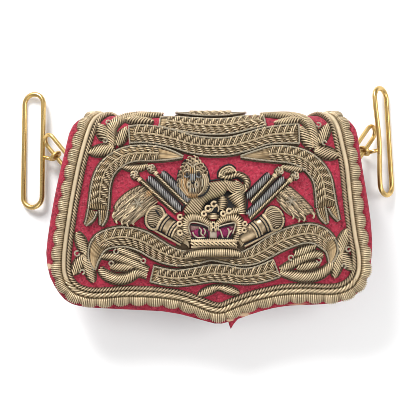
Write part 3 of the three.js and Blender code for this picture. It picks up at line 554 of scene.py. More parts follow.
BORDER = [
    (-51.5, 80), (-53, 70), (-55.5, 64), (-58.5, 58), (-61.3, 52), (-63.4, 45.5), (-65.6, 38), (-68, 28),
    (-70, 18), (-71.8, 8), (-73, 0), (-74.5, -10), (-75.6, -20), (-75.6, -27), (-74.2, -31.5), (-71, -35),
    (-65, -36.9), (-57, -36.9), (-46, -36), (-35, -36.2), (-25, -37), (-15, -38.6), (-5, -42.2), (4, -45.2),
    (10, -43), (20, -39.3), (30, -36.7), (40, -35), (52, -34.6), (63, -35), (69, -34.3), (73, -32.2),
    (75.4, -29), (76.3, -24.5), (75.8, -18), (74.3, -10), (72.8, 0), (71.6, 10), (70.6, 20), (69.5, 30),
    (67.4, 40), (65.4, 49), (63, 55.5), (60, 61), (57.5, 66), (55, 72), (53.5, 80),
]
SCROLLS = {
    "upper_scroll": [
        (-44.5, 45.7, 4.8), (-38, 46.2, 5), (-30, 45.6, 4.9), (-20, 43.5, 4.9), (-10, 40.6, 5.1),
        (0, 39.4, 5.2), (10, 39.7, 5.1), (20, 42, 5), (30, 45, 4.8), (40, 46.1, 5.2), (48, 46.2, 5.6),
    ],
    "top_scroll": [
        (-28, 53.5, 3.6), (-20, 52.6, 4.6), (-10, 51.2, 5), (0, 50.4, 5), (10, 50.8, 5), (20, 53, 5),
        (29.5, 54.5, 4),
    ],
    "crest_scroll": [(-19, 64.5, 2.5), (-10, 62.8, 4.2), (0, 62, 4.6), (10, 62.6, 4.2), (19, 64.5, 2.5)],
    "left_tail": [
        (-15, 33.9, 0.8), (-22, 34.9, 3), (-30, 35.7, 4.4), (-40, 35.8, 4.6), (-47, 34.2, 4.8),
        (-53, 30.5, 5), (-57, 25.5, 5.2), (-59.2, 19, 5.4), (-60, 12, 5.6), (-60.7, 5, 5.8),
    ],
    "right_tail": [
        (16, 34, 0.8), (25, 34.8, 3), (33, 35.5, 4.5), (42, 35, 4.8), (50, 32.6, 5), (56, 28, 5.2),
        (59.8, 22, 5.3), (61.2, 15, 5.4), (62.2, 6.8, 5.8),
    ],
    "lower_scroll": [
        (-62.6, -27, 0.8), (-63, -21, 3.4), (-61, -14.5, 4.8), (-57, -11, 5.2), (-50, -9.3, 5.6),
        (-43, -9.7, 5.7), (-36, -12, 5.9), (-30, -15.5, 5.8), (-24, -18.6, 5.3), (-17, -20.5, 4.5),
        (-8, -20.5, 3.6), (0, -19, 3.2), (8, -20, 3.6), (16, -20.9, 4), (22, -19.6, 4.8), (28, -16.7, 5.3),
        (35, -12.6, 5.5), (42, -9.6, 5.5), (50, -7.5, 5.4), (56, -7.8, 5.4), (61, -10.5, 5.2),
        (64.6, -15, 4.2), (65, -19.5, 2.8), (64, -24, 0.8),
    ],
    "bottom_scroll": [
        (-32, -29, 4.6), (-25, -30.6, 4.6), (-18, -31.3, 4.5), (-10, -30.4, 4.6), (0, -28.7, 4.8),
        (8, -29, 4.8), (15, -30.1, 4.5), (22, -30, 4.6), (29, -28.3, 5), (35.5, -25.8, 5.4),
    ],
}
CRESCENTS = {
    "left_crescent": [(-48, 28.6, 0.8), (-43.5, 27.9, 1.7), (-38.5, 27.9, 1.8), (-34, 29.4, 1)],
    "right_crescent": [(38, 29, 0.8), (42, 27.9, 1.8), (46.5, 27.4, 1.8), (51, 27.6, 0.8)],
}
TONGUES = {
    "left_tail": [
        [(-63.7, 5, 2.9), (-65, 1, 2.4), (-67.7, -3.2, 0.9)],
        [(-57.8, 5, 2.7), (-58, 1, 2.2), (-59.2, -3.6, 0.9)],
    ],
    "right_tail": [
        [(59.3, 6.4, 2.7), (60.5, 2, 2.4), (62.8, -2.6, 0.9)],
        [(65.3, 7, 2.8), (66.6, 3.6, 2.3), (68.9, -0.7, 0.9)],
    ],
}
# The laurel's stretches, as shares of each scroll's length.
LAUREL_SPANS = {
    "upper_scroll": [(0.03, 0.97)], "top_scroll": [(0.06, 0.94)], "crest_scroll": [(0.2, 0.8)],
    "left_tail": [(0.2, 0.94)], "right_tail": [(0.24, 0.94)],
    "lower_scroll": [(0.09, 0.44), (0.56, 0.92)], "bottom_scroll": [(0.04, 0.96)],
}


def edges_at(v):
    """The flap's left and right edge at arc length v."""
    lengths, left, right = zip(*FLAP_EDGES)
    return float(np.interp(v, lengths, left)), float(np.interp(v, lengths, right))


def box_half(y):
    """Half of the box's width at height y. Its lower corners are round."""
    along = clamp((BOX_MOUTH_Y - y) / (BOX_MOUTH_Y - BOX_BOTTOM_Y))
    into = min(max(BOX_BOTTOM_Y + BOX_CORNER - y, 0), BOX_CORNER)
    straight = BOX_HALF_TOP + (BOX_HALF_BOTTOM - BOX_HALF_TOP) * along
    return straight - BOX_CORNER + math.sqrt(BOX_CORNER**2 - into**2)


def slab(piece, columns, rows, place, material=SURFACE, tone=None):
    """A closed sheet. place(x, y, z) puts its points: x and y are -1 to 1, z is 0 outside, -1 inside."""
    made = bmesh.ops.create_grid(piece.solids, x_segments=columns, y_segments=rows, size=1)["verts"]
    faces = list({face for vertex in made for face in vertex.link_faces})
    piece.shell(faces, material, place, tone)


# -------------------------------------------------------------------------------------------------
# Sizes and colours


def size_of(name, description, default, low, high):
    return bpy.props.FloatProperty(name=name, description=description, default=default, min=low, max=high)


def colour_of(name, description, default):
    return bpy.props.FloatVectorProperty(
        name=name, description=description, default=default, size=3, min=0, max=1, subtype="COLOR")


class PouchSizes(bpy.types.PropertyGroup):
    """Sizes of the embroidery, in millimetres."""

    strand: size_of("Strand", "Radius of the thick bullion strands", 0.38, 0.2, 0.8)
    fine: size_of("Fine strand", "Radius of the thin strands", 0.27, 0.1, 0.6)
    pitch: size_of("Pitch", "Distance between neighbouring strands", 1.08, 0.4, 1.6)
    scallop: size_of("Scallop", "Length of one scallop of the border", 8.9, 5, 12)
    slide_wire: size_of("Slide wire", "Radius of the belt slides' wire", 1.4, 0.8, 2)
    ring_wire: size_of("Ring wire", "Radius of the rings' wire", 1.2, 0.8, 1.6)


class PouchColours(bpy.types.PropertyGroup):
    """Colours of the cloth, leather and metal."""

    cloth: colour_of("Cloth", "Wool cloth of the flap", (0.4, 0.019, 0.048))
    leather: colour_of("Leather", "Leather of the box and back", (0.13, 0.018, 0.02))
    gilt: colour_of("Gilt", "Lit side of the gilt thread", (0.83, 0.665, 0.435))
    brass: colour_of("Brass", "Belt slides and rings", (0.7, 0.49, 0.19))
    velvet: colour_of("Velvet", "Lit side of the crown's cap", (0.36, 0.02, 0.12))


def sizes():
    return bpy.context.scene.pouch_sizes


def colours():
    return bpy.context.scene.pouch_colours


# -------------------------------------------------------------------------------------------------
# Flap, back and box


# How far across the flap the cloth's rim turns down, and where its inside starts to draw in.
ROLL_START, THIN_START = 0.97, 0.9


def flap_spot(x, y, end, inset, rim=ROLL_START):
    """The (u, v) place of a point on the flap's own grid, x and y from -1 to 1. Past rim the width stays."""
    start = FLAP_EDGES[0][0] + inset
    v = start + (end - start) * ((y + 1) / 2) ** 1.35
    left, right = edges_at(v)
    half = (right - left) / 2 - inset
    return (left + right) / 2 + math.copysign(half * min(1.0, abs(x) / rim), x), v


def flap_place(top, bottom, end, inset=0.0, rolled=0.0):
    """Placing for a slab that follows the flap up to arc length end. rolled turns its rim down."""

    def place(x, y, z):
        u, v = flap_spot(x, y, end, inset, ROLL_START if rolled else 1.0)
        h = top + (top - bottom) * z
        back = clamp((v - HEM_START) / (BACK_START - HEM_START))
        h = h * (1 - back) + BACK_THICKNESS * z * back
        if rolled:
            drawn = clamp((abs(x) - THIN_START) / (ROLL_START - THIN_START))
            u -= math.copysign(-z * (top - bottom) * drawn, x)
            h -= (rolled + (top - bottom) * z) * max(0.0, abs(x) - ROLL_START) / (1 - ROLL_START)
        return on_flap(u, v, h)

    return place


# Bare patches along the rim: their places, and half of their length and width.
WORN = (
    (-87.6, -25.2, 2.4, 1.6), (18, -51.4, 3.4, 1.2), (48, -46.4, 3.4, 1.6), (10.4, -54.4, 2.2, 1),
    (74.8, 58, 1.4, 1.6), (33, -49.8, 2, 0.7), (-60, 61, 2, 0.8),
)


class POUCH_OT_flap(bpy.types.Operator):
    """The stiff flap that turns over the top into the back, with its wool cloth."""

    bl_idname = "pouch.flap"
    bl_label = "Flap and Back"

    SIDES_AT_FOLD = (-64.5, 66.0)

    def execute(self, context):
        hide = Piece("flap_leather", "leather")
        under = -CLOTH_THICKNESS - SEAM
        slab(hide, 70, 110, flap_place(under, under - LEATHER_THICKNESS, HEM_START, 1.4))
        slab(hide, 50, 80, self.back)
        hide.done("leather", "flap_and_back")
        cloth = Piece("flap_wool", "cloth")
        slab(cloth, 100, 150, flap_place(0.0, -CLOTH_THICKNESS, HEM_START - 1, 0.0, 3.0), tone=self.wear)
        slab(cloth, 6, 8, self.scrap)
        made = cloth.done("scarlet_cloth", "flap_cloth")
        return {"FINISHED"}

    def scrap(self, x, y, z):
        """A torn end of cloth that hangs from the tip's right side."""
        up = (y + 1) / 2
        middle, half = 10.4 + 1.7 * up - 0.4 * math.sin(3 * up), 0.35 + 2.2 * up
        h = -0.4 - 0.6 * up + 0.6 * x * (1 - up) + 0.8 * z
        return on_flap(middle + half * x, -58.6 + 5.2 * up - 0.7 * x, h)

    def back(self, x, y, z):
        """The hem behind the fold, and the flat back, which widens to the box."""
        start = HEM_START + 0.2
        v = start + (BACK_END - start) * (y + 1) / 2
        flat = clamp((v - HEM_START) / 6.3)
        thick = LEATHER_THICKNESS + (BACK_THICKNESS - LEATHER_THICKNESS) * flat
        sunk = (CLOTH_THICKNESS + SEAM) * (1 - flat)
        boxed = clamp((v - BACK_START) / 7)
        half = box_half(profile(v)[0]) * boxed
        left, right = (edge * (1 - boxed) + sign * half for sign, edge in zip((-1, 1), self.SIDES_AT_FOLD))
        return on_flap((left + right) / 2 + (right - left) / 2 * x, v, -sunk + thick * z)

    def wear(self, x, y):
        """Bare patches along the rim, where the nap is gone."""
        u, v = flap_spot(x, y, HEM_START - 1, 0.0)
        bare = [1.3 - math.hypot((u - a) / long, (v - b) / wide) for a, b, long, wide in WORN]
        return 0.5 + 0.5 * max(0.0, *bare)


class POUCH_OT_box(bpy.types.Operator):
    """The leather box behind the flap, open at its mouth."""

    bl_idname = "pouch.box"
    bl_label = "Box"

    FRONT_START, FRONT_END = -36.3, 43.9

    def execute(self, context):
        front = Piece("box_front_leather", "leather")
        face = CLOTH_THICKNESS + LEATHER_THICKNESS + 2 * SEAM

        def place_front(x, y, z):
            v = self.FRONT_START + (self.FRONT_END - self.FRONT_START) * (y + 1) / 2
            half = box_half(max(profile(v)[0], BOX_BOTTOM_Y))
            return on_flap(half * x, v, -face + LEATHER_THICKNESS * z)

        slab(front, 50, 40, place_front)
        front.done("leather", "box_front")
        wall = Piece("box_gusset_leather", "leather")
        corner = BOX_CORNER * (1 - np.sin(np.linspace(0, QUARTER, 9)[1:]))
        heights = [*np.linspace(BOX_MOUTH_Y, BOX_BOTTOM_Y + BOX_CORNER, 12), *(BOX_BOTTOM_Y + corner)]
        half = [(box_half(y), y) for y in heights]
        rim = Route(half + [(-u, y) for u, y in reversed(half)])

        def place_wall(x, y, z):
            u, height = rim.spot(rim.length * (x + 1) / 2, -GUSSET_INSET + LEATHER_THICKNESS * z)
            drop = FOLD_Y - max(float(height), BOX_BOTTOM_Y)
            v = FOLD_START - FACE_RADIUS * math.asin(min(drop / FACE_RADIUS, 1))
            top = on_flap(0, min(v, FOLD_START), -face - LEATHER_THICKNESS - SEAM).z / MM
            low = BACK_THICKNESS + SEAM
            return Vector((float(u), float(height), low + (top - low) * (y + 1) / 2)) * MM

        slab(wall, 120, 6, place_wall)
        wall.done("leather", "box_gusset")
        return {"FINISHED"}


# -------------------------------------------------------------------------------------------------
# Border


class POUCH_OT_border(bpy.types.Operator):
    """The border: scallops of bullion, a smooth plate and a dark cord."""

    bl_idname = "pouch.border"
    bl_label = "Border"

    SCALLOP_MIDDLE, SCALLOP_REACH, NOTCH = 7.75, 2.75, 2.3
    PLATE_MIDDLE, CORD_MIDDLE = 3.6, 0.95
    STRANDS = 9
    BOTTOM_V = -33

    def execute(self, context):
        line = Route(BORDER)
        self.scallops(line.side(-self.SCALLOP_MIDDLE))
        self.plate(line.side(-self.PLATE_MIDDLE))
        piece = Piece("border_cord_threads", "dull", "padding")
        middle = line.side(-self.CORD_MIDDLE)
        satin(piece, middle, 1.15, 0.4, 1.05, 0.5, 2.1, edges=lambda s: (-0.95, 0.95), tone=0.85)
        padding(piece, middle, 0.1, 1.6, reach=lambda s: (-0.9, 0.9), across=3)
        for side in (-1.25, 1.2):
            self.shade(piece, middle, side)
        piece.done("dark_bullion", "border_cord")
        return {"FINISHED"}

    def shade(self, piece, line, offset):
        """A dark thread at the foot of a row: painted shade where the row meets its neighbour."""
        s = np.linspace(0, line.length, int(line.length / 2) + 1)
        piece.on_face(line.spots(s, offset, 0.3), 0.3, 0.4, material=FILLING_AND_SHADE, sides=4)

    def rounding(self, t):
        """How far a lobe's outline falls back, from 0 at its middle to nearly 1 at its sides."""
        return 1 - math.sqrt(1 - (0.97 * t) ** 2)

    def scallops(self, middle):
        """Lobes of strands. Those at a lobe's sides are shorter, lower and darker; their darkening is painted
        shade at the notches.
        """
        piece = Piece("border_scallop_threads", "gilt", "core")
        count = round(middle.length / sizes().scallop)
        long = middle.length / count
        inner = self.SCALLOP_REACH - 0.1
        steps = np.linspace(-1, 1, 7)
        for i in range(count):
            lift = jitter(0.06)
            for k in range(self.STRANDS):
                t = (k + 0.5) / self.STRANDS * 2 - 1
                fall = self.rounding(t)
                outer = self.SCALLOP_REACH - self.NOTCH * fall
                offset = inner - (outer + inner) * (steps + 1) / 2
                along = (i + 0.5 + t / 2) * long - 0.16 * t * steps
                h = 0.4 + 2.3 * lift * (1 - 0.6 * fall) * np.maximum(0, 1 - steps**2) ** 0.42
                # Strands at a lobe's sides lose 0.3 of their tone: painted shade at the notches between
                # lobes.
                bright = 0.72 + 0.35 * (DRAW.random() - 0.5) - 0.3 * (abs(t) > 0.85)
                piece.on_face(middle.spots(along, offset, h), 0.4 * jitter(0.08), bright - 0.1 * (steps + 1))

        def reach(s):
            fall = self.rounding(2 * ((s / long) % 1) - 1)
            return 0.35 + self.NOTCH * fall - self.SCALLOP_REACH, self.SCALLOP_REACH - 0.2

        padding(piece, middle, 0.1, 2.05, reach, step=0.9, arch=0.42)
        piece.done("bullion", "border_scallops")

    def plate(self, middle):
        """Flat and smooth down the sides, twisted like rope along the bottom."""
        piece = Piece("border_plate_threads", "strip", "core", "gilt")
        bottom = [s for s in np.linspace(0, middle.length, 400) if middle.spot(s)[1] < self.BOTTOM_V]
        low, high = bottom[0], bottom[-1]
        for start, end in ((0, low), (high, middle.length)):
            strip = Route([(*middle.spot(s), 1.25) for s in np.linspace(start, end, 40)])
            padding(piece, strip, 0.1, 1.9, step=1.4, arch=0.3, material=SURFACE)
        twist = Route([(*middle.spot(s), 1.3) for s in np.linspace(low - 2, high + 2, 90)])
        reach = (-1.2, 1.2)
        satin(piece, twist, 1.25, 0.55, 1.7, 0.5, 2.2, lambda s: reach, steps=7, tone=0.7, material="gilt")
        padding(piece, twist, 0.1, 1.8, across=4)
        self.shade(piece, middle, -1.42)
        piece.done("metal_plate", "border_plate")


# -------------------------------------------------------------------------------------------------
# Scrolls


SPRIG_SHAPE = ((0, 0.35), (0.25, 0.9), (0.5, 1), (0.8, 0.7), (1, 0.25))
SPRIG_WIDTH, SPRIG_LOW, SPRIG_HIGH = 3.3, 1.5, 3.4


def leaf_line(u, v, length, width, angle, shape, behind=0.0):
    """Charted line of a leaf. behind is the share of its length that lies behind (u, v)."""
    cos, sin = math.cos(math.radians(angle)), math.sin(math.radians(angle))
    steps = [(length * (t - behind), width / 2 * wide) for t, wide in shape]
    return [(u + cos * step, v + sin * step, half) for step, half in steps]


def sprig(piece, u, v, length, angle, material):
    """A small satin leaf from its base towards its tip."""
    route = Route(leaf_line(u, v, length, SPRIG_WIDTH, angle, SPRIG_SHAPE))
    padding(piece, route, SPRIG_LOW - 0.4, SPRIG_HIGH - 0.45, across=4, step=1.2, inset=0.2)
    top = SPRIG_HIGH - 0.3
    satin(
        piece, route, 0.95, sizes().fine, 0.8, SPRIG_LOW, top, steps=4, tone=0.85, material=material, sides=4,
    )


class POUCH_OT_scrolls(bpy.types.Operator):
    """Ribbon scrolls with corded edges. A running laurel fills them."""

    bl_idname = "pouch.scrolls"
    bl_label = "Scrolls"

    EDGE = {"radius": 0.55, "pitch": 1.9, "tone": 0.6, "material": "silver"}
    EDGE_HIGH = 1.9

    def execute(self, context):
        for name, rows in SCROLLS.items():
            self.ribbon(name, Route(rows))
        for name, rows in CRESCENTS.items():
            piece = Piece(name + "_threads", "gilt", "padding")
            rope(piece, rows, 2.3, 0.7, 0.7)
            piece.done("bullion", name)
        return {"FINISHED"}

    def ribbon(self, name, route):
        piece = Piece(name + "_threads", "ground", "padding", "silver", "gilt")
        self.strip(piece, route)
        for rows in TONGUES.get(name, []):
            self.strip(piece, Route(rows))
        for end in (0.3, route.length - 0.3):
            half = float(route.half(end))
            if half > 2 and not (name in TONGUES and end > 1):
                across = np.linspace(-1, 1, 9) * (half - 0.3)
                cord(piece, route.spots(np.full(9, end), across, self.EDGE_HIGH), **self.EDGE)
        for start, stop in LAUREL_SPANS[name]:
            self.laurel(piece, route, start * route.length, stop * route.length)
        piece.done("bullion", name)

    def strip(self, piece, route):
        """Lengthwise strands between two corded edges."""
        padding(piece, route, 0.1, 0.9, across=3, arch=0.2)
        lines = max(2, round((2 * route.widest - 2) / 0.98))
        steps = np.arange(0, route.length, 1.5)
        for k in range(lines):
            t = (k + 0.5) / lines * 2 - 1
            tone = 0.6 + 0.7 * (DRAW.random() - 0.5)
            spots = route.spots(steps, t * np.maximum(route.half(steps) - 0.9, 0.1), 1.15)
            piece.on_face(spots, 0.32 * jitter(0.08), tone, sides=4)
        s = np.arange(0, route.length, 0.7)
        for side in (-1, 1):
            cord(
                piece, route.spots(s, side * (route.half(s) - 0.45), self.EDGE_HIGH), spread=0.3, **self.EDGE,
            )
            # Dark threads just outside each edge and just inside its cord: painted shade along the corded
            # edges.
            for out, h, thick in ((0.38, 0.4, 0.42), (-1.2, 1.2, 0.28)):
                spots = route.spots(s, side * np.maximum(route.half(s) + out, 0.1), h)
                piece.on_face(spots[::2], thick, 0.4, material=FILLING_AND_SHADE, sides=4)

    def laurel(self, piece, route, start, stop):
        """Pairs of small leaves along a cord."""
        for s in np.arange(start, stop, 3.9):
            (u, v), ahead = route.spot(s), route.spot(s + 0.5)
            angle = math.degrees(math.atan2(ahead[1] - v, ahead[0] - u))
            long = min(5.9, float(route.half(s)) * 1.2)
            if long < 2.4:
                continue
            for turn in (52, -52):
                sprig(piece, float(u), float(v), long, angle + turn, "gilt")
        cord(piece, route.spots(np.arange(start, stop, 0.6), 0.0, 2.7), 0.5, 1.9, 0.5, "gilt")


# -------------------------------------------------------------------------------------------------
# Leaves, sprays and ropes


LEAF_SHAPE = ((0, 0.42), (0.12, 0.8), (0.4, 1), (0.7, 0.88), (0.9, 0.55), (1, 0.2))


def outline_and_shade(piece, route, out=0.25, radius=0.42, h=0.35):
    """Dark threads laid along both edges of a route: partly black outline thread, partly painted shade at the
    foot of the raised work.
    """
    s = np.linspace(0, route.length, max(4, int(route.length / 1.2)))
    for side in (-1, 1):
        piece.on_face(route.spots(s, side * (route.half(s) + out), h), radius, 0.4, material=FILLING_AND_SHADE, sides=4)


def leaf(piece, u, v, length, width, angle, high=3.0, tone=0.72, lean=0.9, material=SURFACE, pitch=None):
    """A satin leaf or bud around (u, v), its tip at the end of its axis."""
    rows = leaf_line(u, v, length, width, angle, LEAF_SHAPE, 0.5)
    rope(piece, rows, high, tone, lean, pitch, material)


def rope(piece, rows, high=2.8, tone=0.72, lean=0.8, pitch=None, material=SURFACE, radius=None):
    """Satin strands over a rounded pad along a charted line."""
    route = Route(rows)
    outline_and_shade(piece, route)
    padding(piece, route, 0.1, high - 0.5, inset=0.3)
    radius = radius or sizes().strand
    satin(
        piece, route, pitch or sizes().pitch, radius, lean, 0.4, high - radius, steps=6, tone=tone,
        material=material,
    )


def hook(piece, u, v, radius=1.4, start=0, turn=300, high=2.3, thick=0.52, material="silver", tone=0.75):
    """A small looped end of twisted thread."""
    angles = np.radians(np.linspace(start, start + turn, 16))
    spots = [(u + radius * math.cos(a), v + radius * math.sin(a), high) for a in angles]
    cord(piece, spots, thick, 1.3, tone, material)


def stroke(piece, points, high, radius=0.36, tone=0.7, material=SURFACE, dip=0.35):
    """One smooth thread through places, with its ends sunk. high is its height, or gives it for places."""
    route = Route(points)
    s = np.linspace(0, route.length, max(4, int(route.length / 0.7)))
    u, v = route.spot(s)
    t = 2 * s / route.length - 1
    h = (high(u, v) if callable(high) else high) - dip * t**8
    piece.on_face(zip(u, v, h), radius, tone, material=material)


def crossings(shape, origin, direction, normal, offset):
    """Distances along direction at which a line crosses a closed shape."""
    hits = []
    for a, b in zip(shape, shape[1:] + shape[:1]):
        da, db = (sum((spot[k] - origin[k]) * normal[k] for k in (0, 1)) - offset for spot in (a, b))
        if (da < 0) != (db < 0):
            t = da / (da - db)
            hits.append(sum((a[k] + (b[k] - a[k]) * t - origin[k]) * direction[k] for k in (0, 1)))
    return sorted(hits)


def within(shape, spot):
    return len([x for x in crossings(shape, spot, (1, 0), (0, 1), 0.0) if x > 0]) % 2 == 1


class Cushion:
    """A raised filling of a closed shape, round at its shoulders."""

    def __init__(self, shape, high, shoulder=2.0, low=0.1):
        self.shape, self.high, self.shoulder, self.low = shape, high, shoulder, low
        self.start = np.array(shape, float)
        self.run = np.roll(self.start, -1, axis=0) - self.start

    def height(self, u, v):
        """Height of the filling over places inside the shape."""
        u, v = np.atleast_1d(u), np.atleast_1d(v)
        gap = np.stack([u, v], axis=-1)[:, None] - self.start
        t = np.clip((gap * self.run).sum(-1) / (self.run**2).sum(-1), 0, 1)
        far = np.sqrt(((gap - t[..., None] * self.run) ** 2).sum(-1)).min(-1)
        rise = np.sqrt(np.maximum(0, 1 - (1 - np.minimum(far / self.shoulder, 1)) ** 2))
        return self.low + (self.high - self.low) * rise

    def fill(self, piece, material=FILLING_AND_SHADE, cell=1.8, sink=0.15):
        """The filling itself, a closed solid. It lies sink below the height, so that threads cover it."""
        corners = [piece.solids.verts.new((u, v, 0)) for u, v in self.shape]
        geometry = [piece.solids.faces.new(corners)]
        geometry += [*geometry[0].edges, *geometry[0].verts]
        for axis, normal in enumerate(((1, 0, 0), (0, 1, 0))):
            values = [spot[axis] for spot in self.shape]
            for value in np.arange(min(values) + cell / 2, max(values), cell):
                spot = [value * part for part in normal]
                cut = bmesh.ops.bisect_plane(
                    piece.solids, geom=geometry, dist=1e-4, plane_co=spot, plane_no=normal,
                )
                geometry = cut["geom"]

        def place(u, v, z):
            return on_flap(u, v, float(self.height(u, v)[0]) - sink if z > -0.5 else self.low - sink - 0.1)

        piece.shell([part for part in geometry if isinstance(part, bmesh.types.BMFace)], material, place)

    def hatch(self, piece, angle, pitch=1.16, radius=0.36, tone=0.6, spread=0.3, material=SURFACE, bend=0.0):
        """Parallel strands over the filling. bend bows them."""
        along = np.array([math.cos(math.radians(angle)), math.sin(math.radians(angle))])
        aside = np.array([-along[1], along[0]])
        centre = np.mean(self.shape, axis=0)
        offsets = (self.start - centre) @ aside
        for offset in np.arange(min(offsets) + pitch / 2, max(offsets), pitch):
            hits = crossings(self.shape, centre, along, aside, offset)
            for start, stop in zip(hits[::2], hits[1::2]):
                if stop - start < 0.9:
                    continue
                t = np.linspace(0, 1, max(4, int((stop - start) / 0.9)))
                s = start + 0.15 + (stop - start - 0.3) * t
                bowed = offset + bend * (1 - (2 * t - 1) ** 2)
                u, v = (centre[axis] + s * along[axis] + bowed * aside[axis] for axis in (0, 1))
                spots = zip(u, v, self.height(u, v) + 0.12)
                tint = tone + spread * (DRAW.random() - 0.5)
                piece.on_face(spots, radius * jitter(0.07), tint, material=material)


SPRAYS = {
    "top_left_spray": {
        "ropes": [
            [
                (-58, 37.6, 1), (-54, 39.6, 1.8), (-54, 44, 2.8), (-54.3, 49, 2.9), (-51.6, 54, 3),
                (-46, 58.6, 2.8), (-39, 61.5, 2.6), (-31, 63, 1.2),
            ],
            [(-46, 55, 1.2), (-41.5, 58.4, 2), (-34, 60.5, 2.1), (-26, 61.5, 1)],
        ],
        "leaves": [
            (-58.6, 47.6, 9.6, 7.2, 118), (-59.2, 37.4, 14, 6.6, 190), (-48.2, 45, 11, 5.6, 62),
            (-38.6, 54.6, 15, 5, -5),
        ],
        "hooks": [(-55.6, 52.2, 1.2, 30), (-57, 42.6, 1.1, 200)],
    },
    "top_right_spray": {
        "ropes": [
            [
                (61, 36.6, 1), (57, 38.4, 1.8), (56, 42, 2.7), (55, 48, 2.9), (52.4, 54, 3), (47, 58.6, 2.8),
                (40, 61.5, 2.6), (32, 63, 1.2),
            ],
            [(46, 55.4, 1.2), (42, 58.6, 2), (35, 60.6, 2.1), (27, 61.6, 1)],
        ],
        "leaves": [
            (51.4, 44.6, 13.6, 6.2, 118), (61, 46.6, 11.4, 6, 62), (62.4, 36, 13.4, 7, -14),
            (41.4, 54, 14.4, 4.8, 188),
        ],
        "hooks": [(58.3, 50.8, 1.2, 200), (61.2, 41.4, 1.1, 0)],
    },
    "low_left_spray": {
        "ropes": [[(-67.4, -16, 0.9), (-67.8, -19, 1.3), (-67.6, -22, 1.2)]],
        "leaves": [
            (-69.8, -12.4, 12.6, 6, 112), (-71.4, -24.4, 11.8, 6.2, 240), (-65.6, -27, 14.4, 5.8, -72),
        ],
        "hooks": [(-72, -18, 1.3, 60), (-69.3, -28, 1.2, 270)],
    },
    "low_right_spray": {
        "ropes": [[(69.4, -15, 0.9), (70.2, -17.5, 1.2), (70.4, -19.5, 1.1)]],
        "leaves": [(71.4, -11.2, 12.8, 6.6, 72), (73, -22.2, 11.4, 6, -60), (68, -25, 13, 5.6, -104)],
        "hooks": [(73.8, -15.8, 1.2, 60), (71.5, -24.8, 1.1, 270)],
    },
    "low_left_knot": {
        "ropes": [
            [
                (-58.8, -19.6, 1.4), (-52.5, -19.8, 2.3), (-46, -21.4, 2.5), (-40, -24.2, 2.5),
                (-34, -27.6, 1.8),
            ],
            [
                (-60, -26.4, 1.6), (-56.6, -29.8, 2.5), (-51, -32, 2.8), (-45, -31.4, 2.7),
                (-39.6, -28.6, 2.3), (-34.4, -30, 1.8),
            ],
        ],
        "leaves": [(-43.6, -18.6, 14.6, 4.6, -26), (-48, -25.4, 12.6, 4.8, -2)],
        "hooks": [(-53.6, -23.4, 1.2, 0), (-51, -17, 1.2, 90), (-36.4, -22, 1.2, 180)],
    },
    "low_right_knot": {
        "ropes": [
            [(37.4, -27, 1.4), (43, -24.2, 2.2), (49, -20.8, 2.4), (55, -18.8, 2.3), (60.4, -19, 1.4)],
            [
                (37, -28.4, 1.4), (43, -29.8, 2.4), (50, -30.8, 2.8), (57, -30, 2.8), (62, -27.2, 2.4),
                (65.8, -23.4, 1.8),
            ],
        ],
        "leaves": [(50.6, -16.4, 13, 4.8, 22), (52.4, -24.8, 13, 4.8, 10)],
        "hooks": [(43, -20.4, 1.3, 0), (58, -21.8, 1.2, 180)],
    },
    "tip_spray": {
        "ropes": [],
        "leaves": [(-2, -38.6, 11, 4.2, 204), (10, -38, 11, 4.2, -17), (4, -36.6, 7, 3, 0)],
        "hooks": [],
    },
}
SPRAY_HEIGHTS = {"top_left_spray": 3.2, "top_right_spray": 3.2, "tip_spray": 2.4}


class POUCH_OT_sprays(bpy.types.Operator):
    """Sprays of leaves and buds, and the ropes between the lower scrolls."""

    bl_idname = "pouch.sprays"
    bl_label = "Sprays"

    def execute(self, context):
        for name, parts in SPRAYS.items():
            high = SPRAY_HEIGHTS.get(name, 3.0)
            piece = Piece(name + "_threads", "gilt", "padding", "silver")
            for rows in parts["ropes"]:
                rope(piece, rows, high)
            for row in parts["leaves"]:
                leaf(piece, *row, high=high + 0.2)
            for row in parts["hooks"]:
                hook(piece, *row)
            piece.done("pale_bullion", name)
        return {"FINISHED"}


# -------------------------------------------------------------------------------------------------
# Guns, flags, poles


STAVES = {
    "left_outer_rod": [
        (-34, 22.8, 0.9), (-32.6, 21.5, 1.7), (-25, 14, 1.8), (-17.6, 6.6, 1.8), (-16.2, 5.2, 1.1),
    ],
    "left_inner_rod": [(-26.7, 25.6, 0.9), (-25.2, 24, 1.7), (-19, 17.6, 1.8), (-12, 10, 1.8)],
    "right_inner_rod": [(31.6, 24.8, 0.9), (30.3, 23.2, 1.6), (25, 17.8, 1.7), (19.2, 12, 1.7)],
    "right_outer_rod": [(39.4, 22.8, 0.9), (38, 21.2, 1.7), (29.6, 12.4, 1.8), (20, 2.4, 1.8)],
}
# Each pole's upper and lower end, and the place of its head.
POLES = {
    "left_outer_pole": ((-39.2, 22.4), (-18.5, 3.6), (-40.8, 23.6)),
    "left_inner_pole": ((-29.4, 24), (-13, 8.2), (-31.8, 27)),
    "right_inner_pole": ((35.2, 24.4), (21.4, 9.4), (36.4, 25.8)),
    "right_outer_pole": ((43.4, 22.2), (20.8, 0.6), (44.8, 23.2)),
}
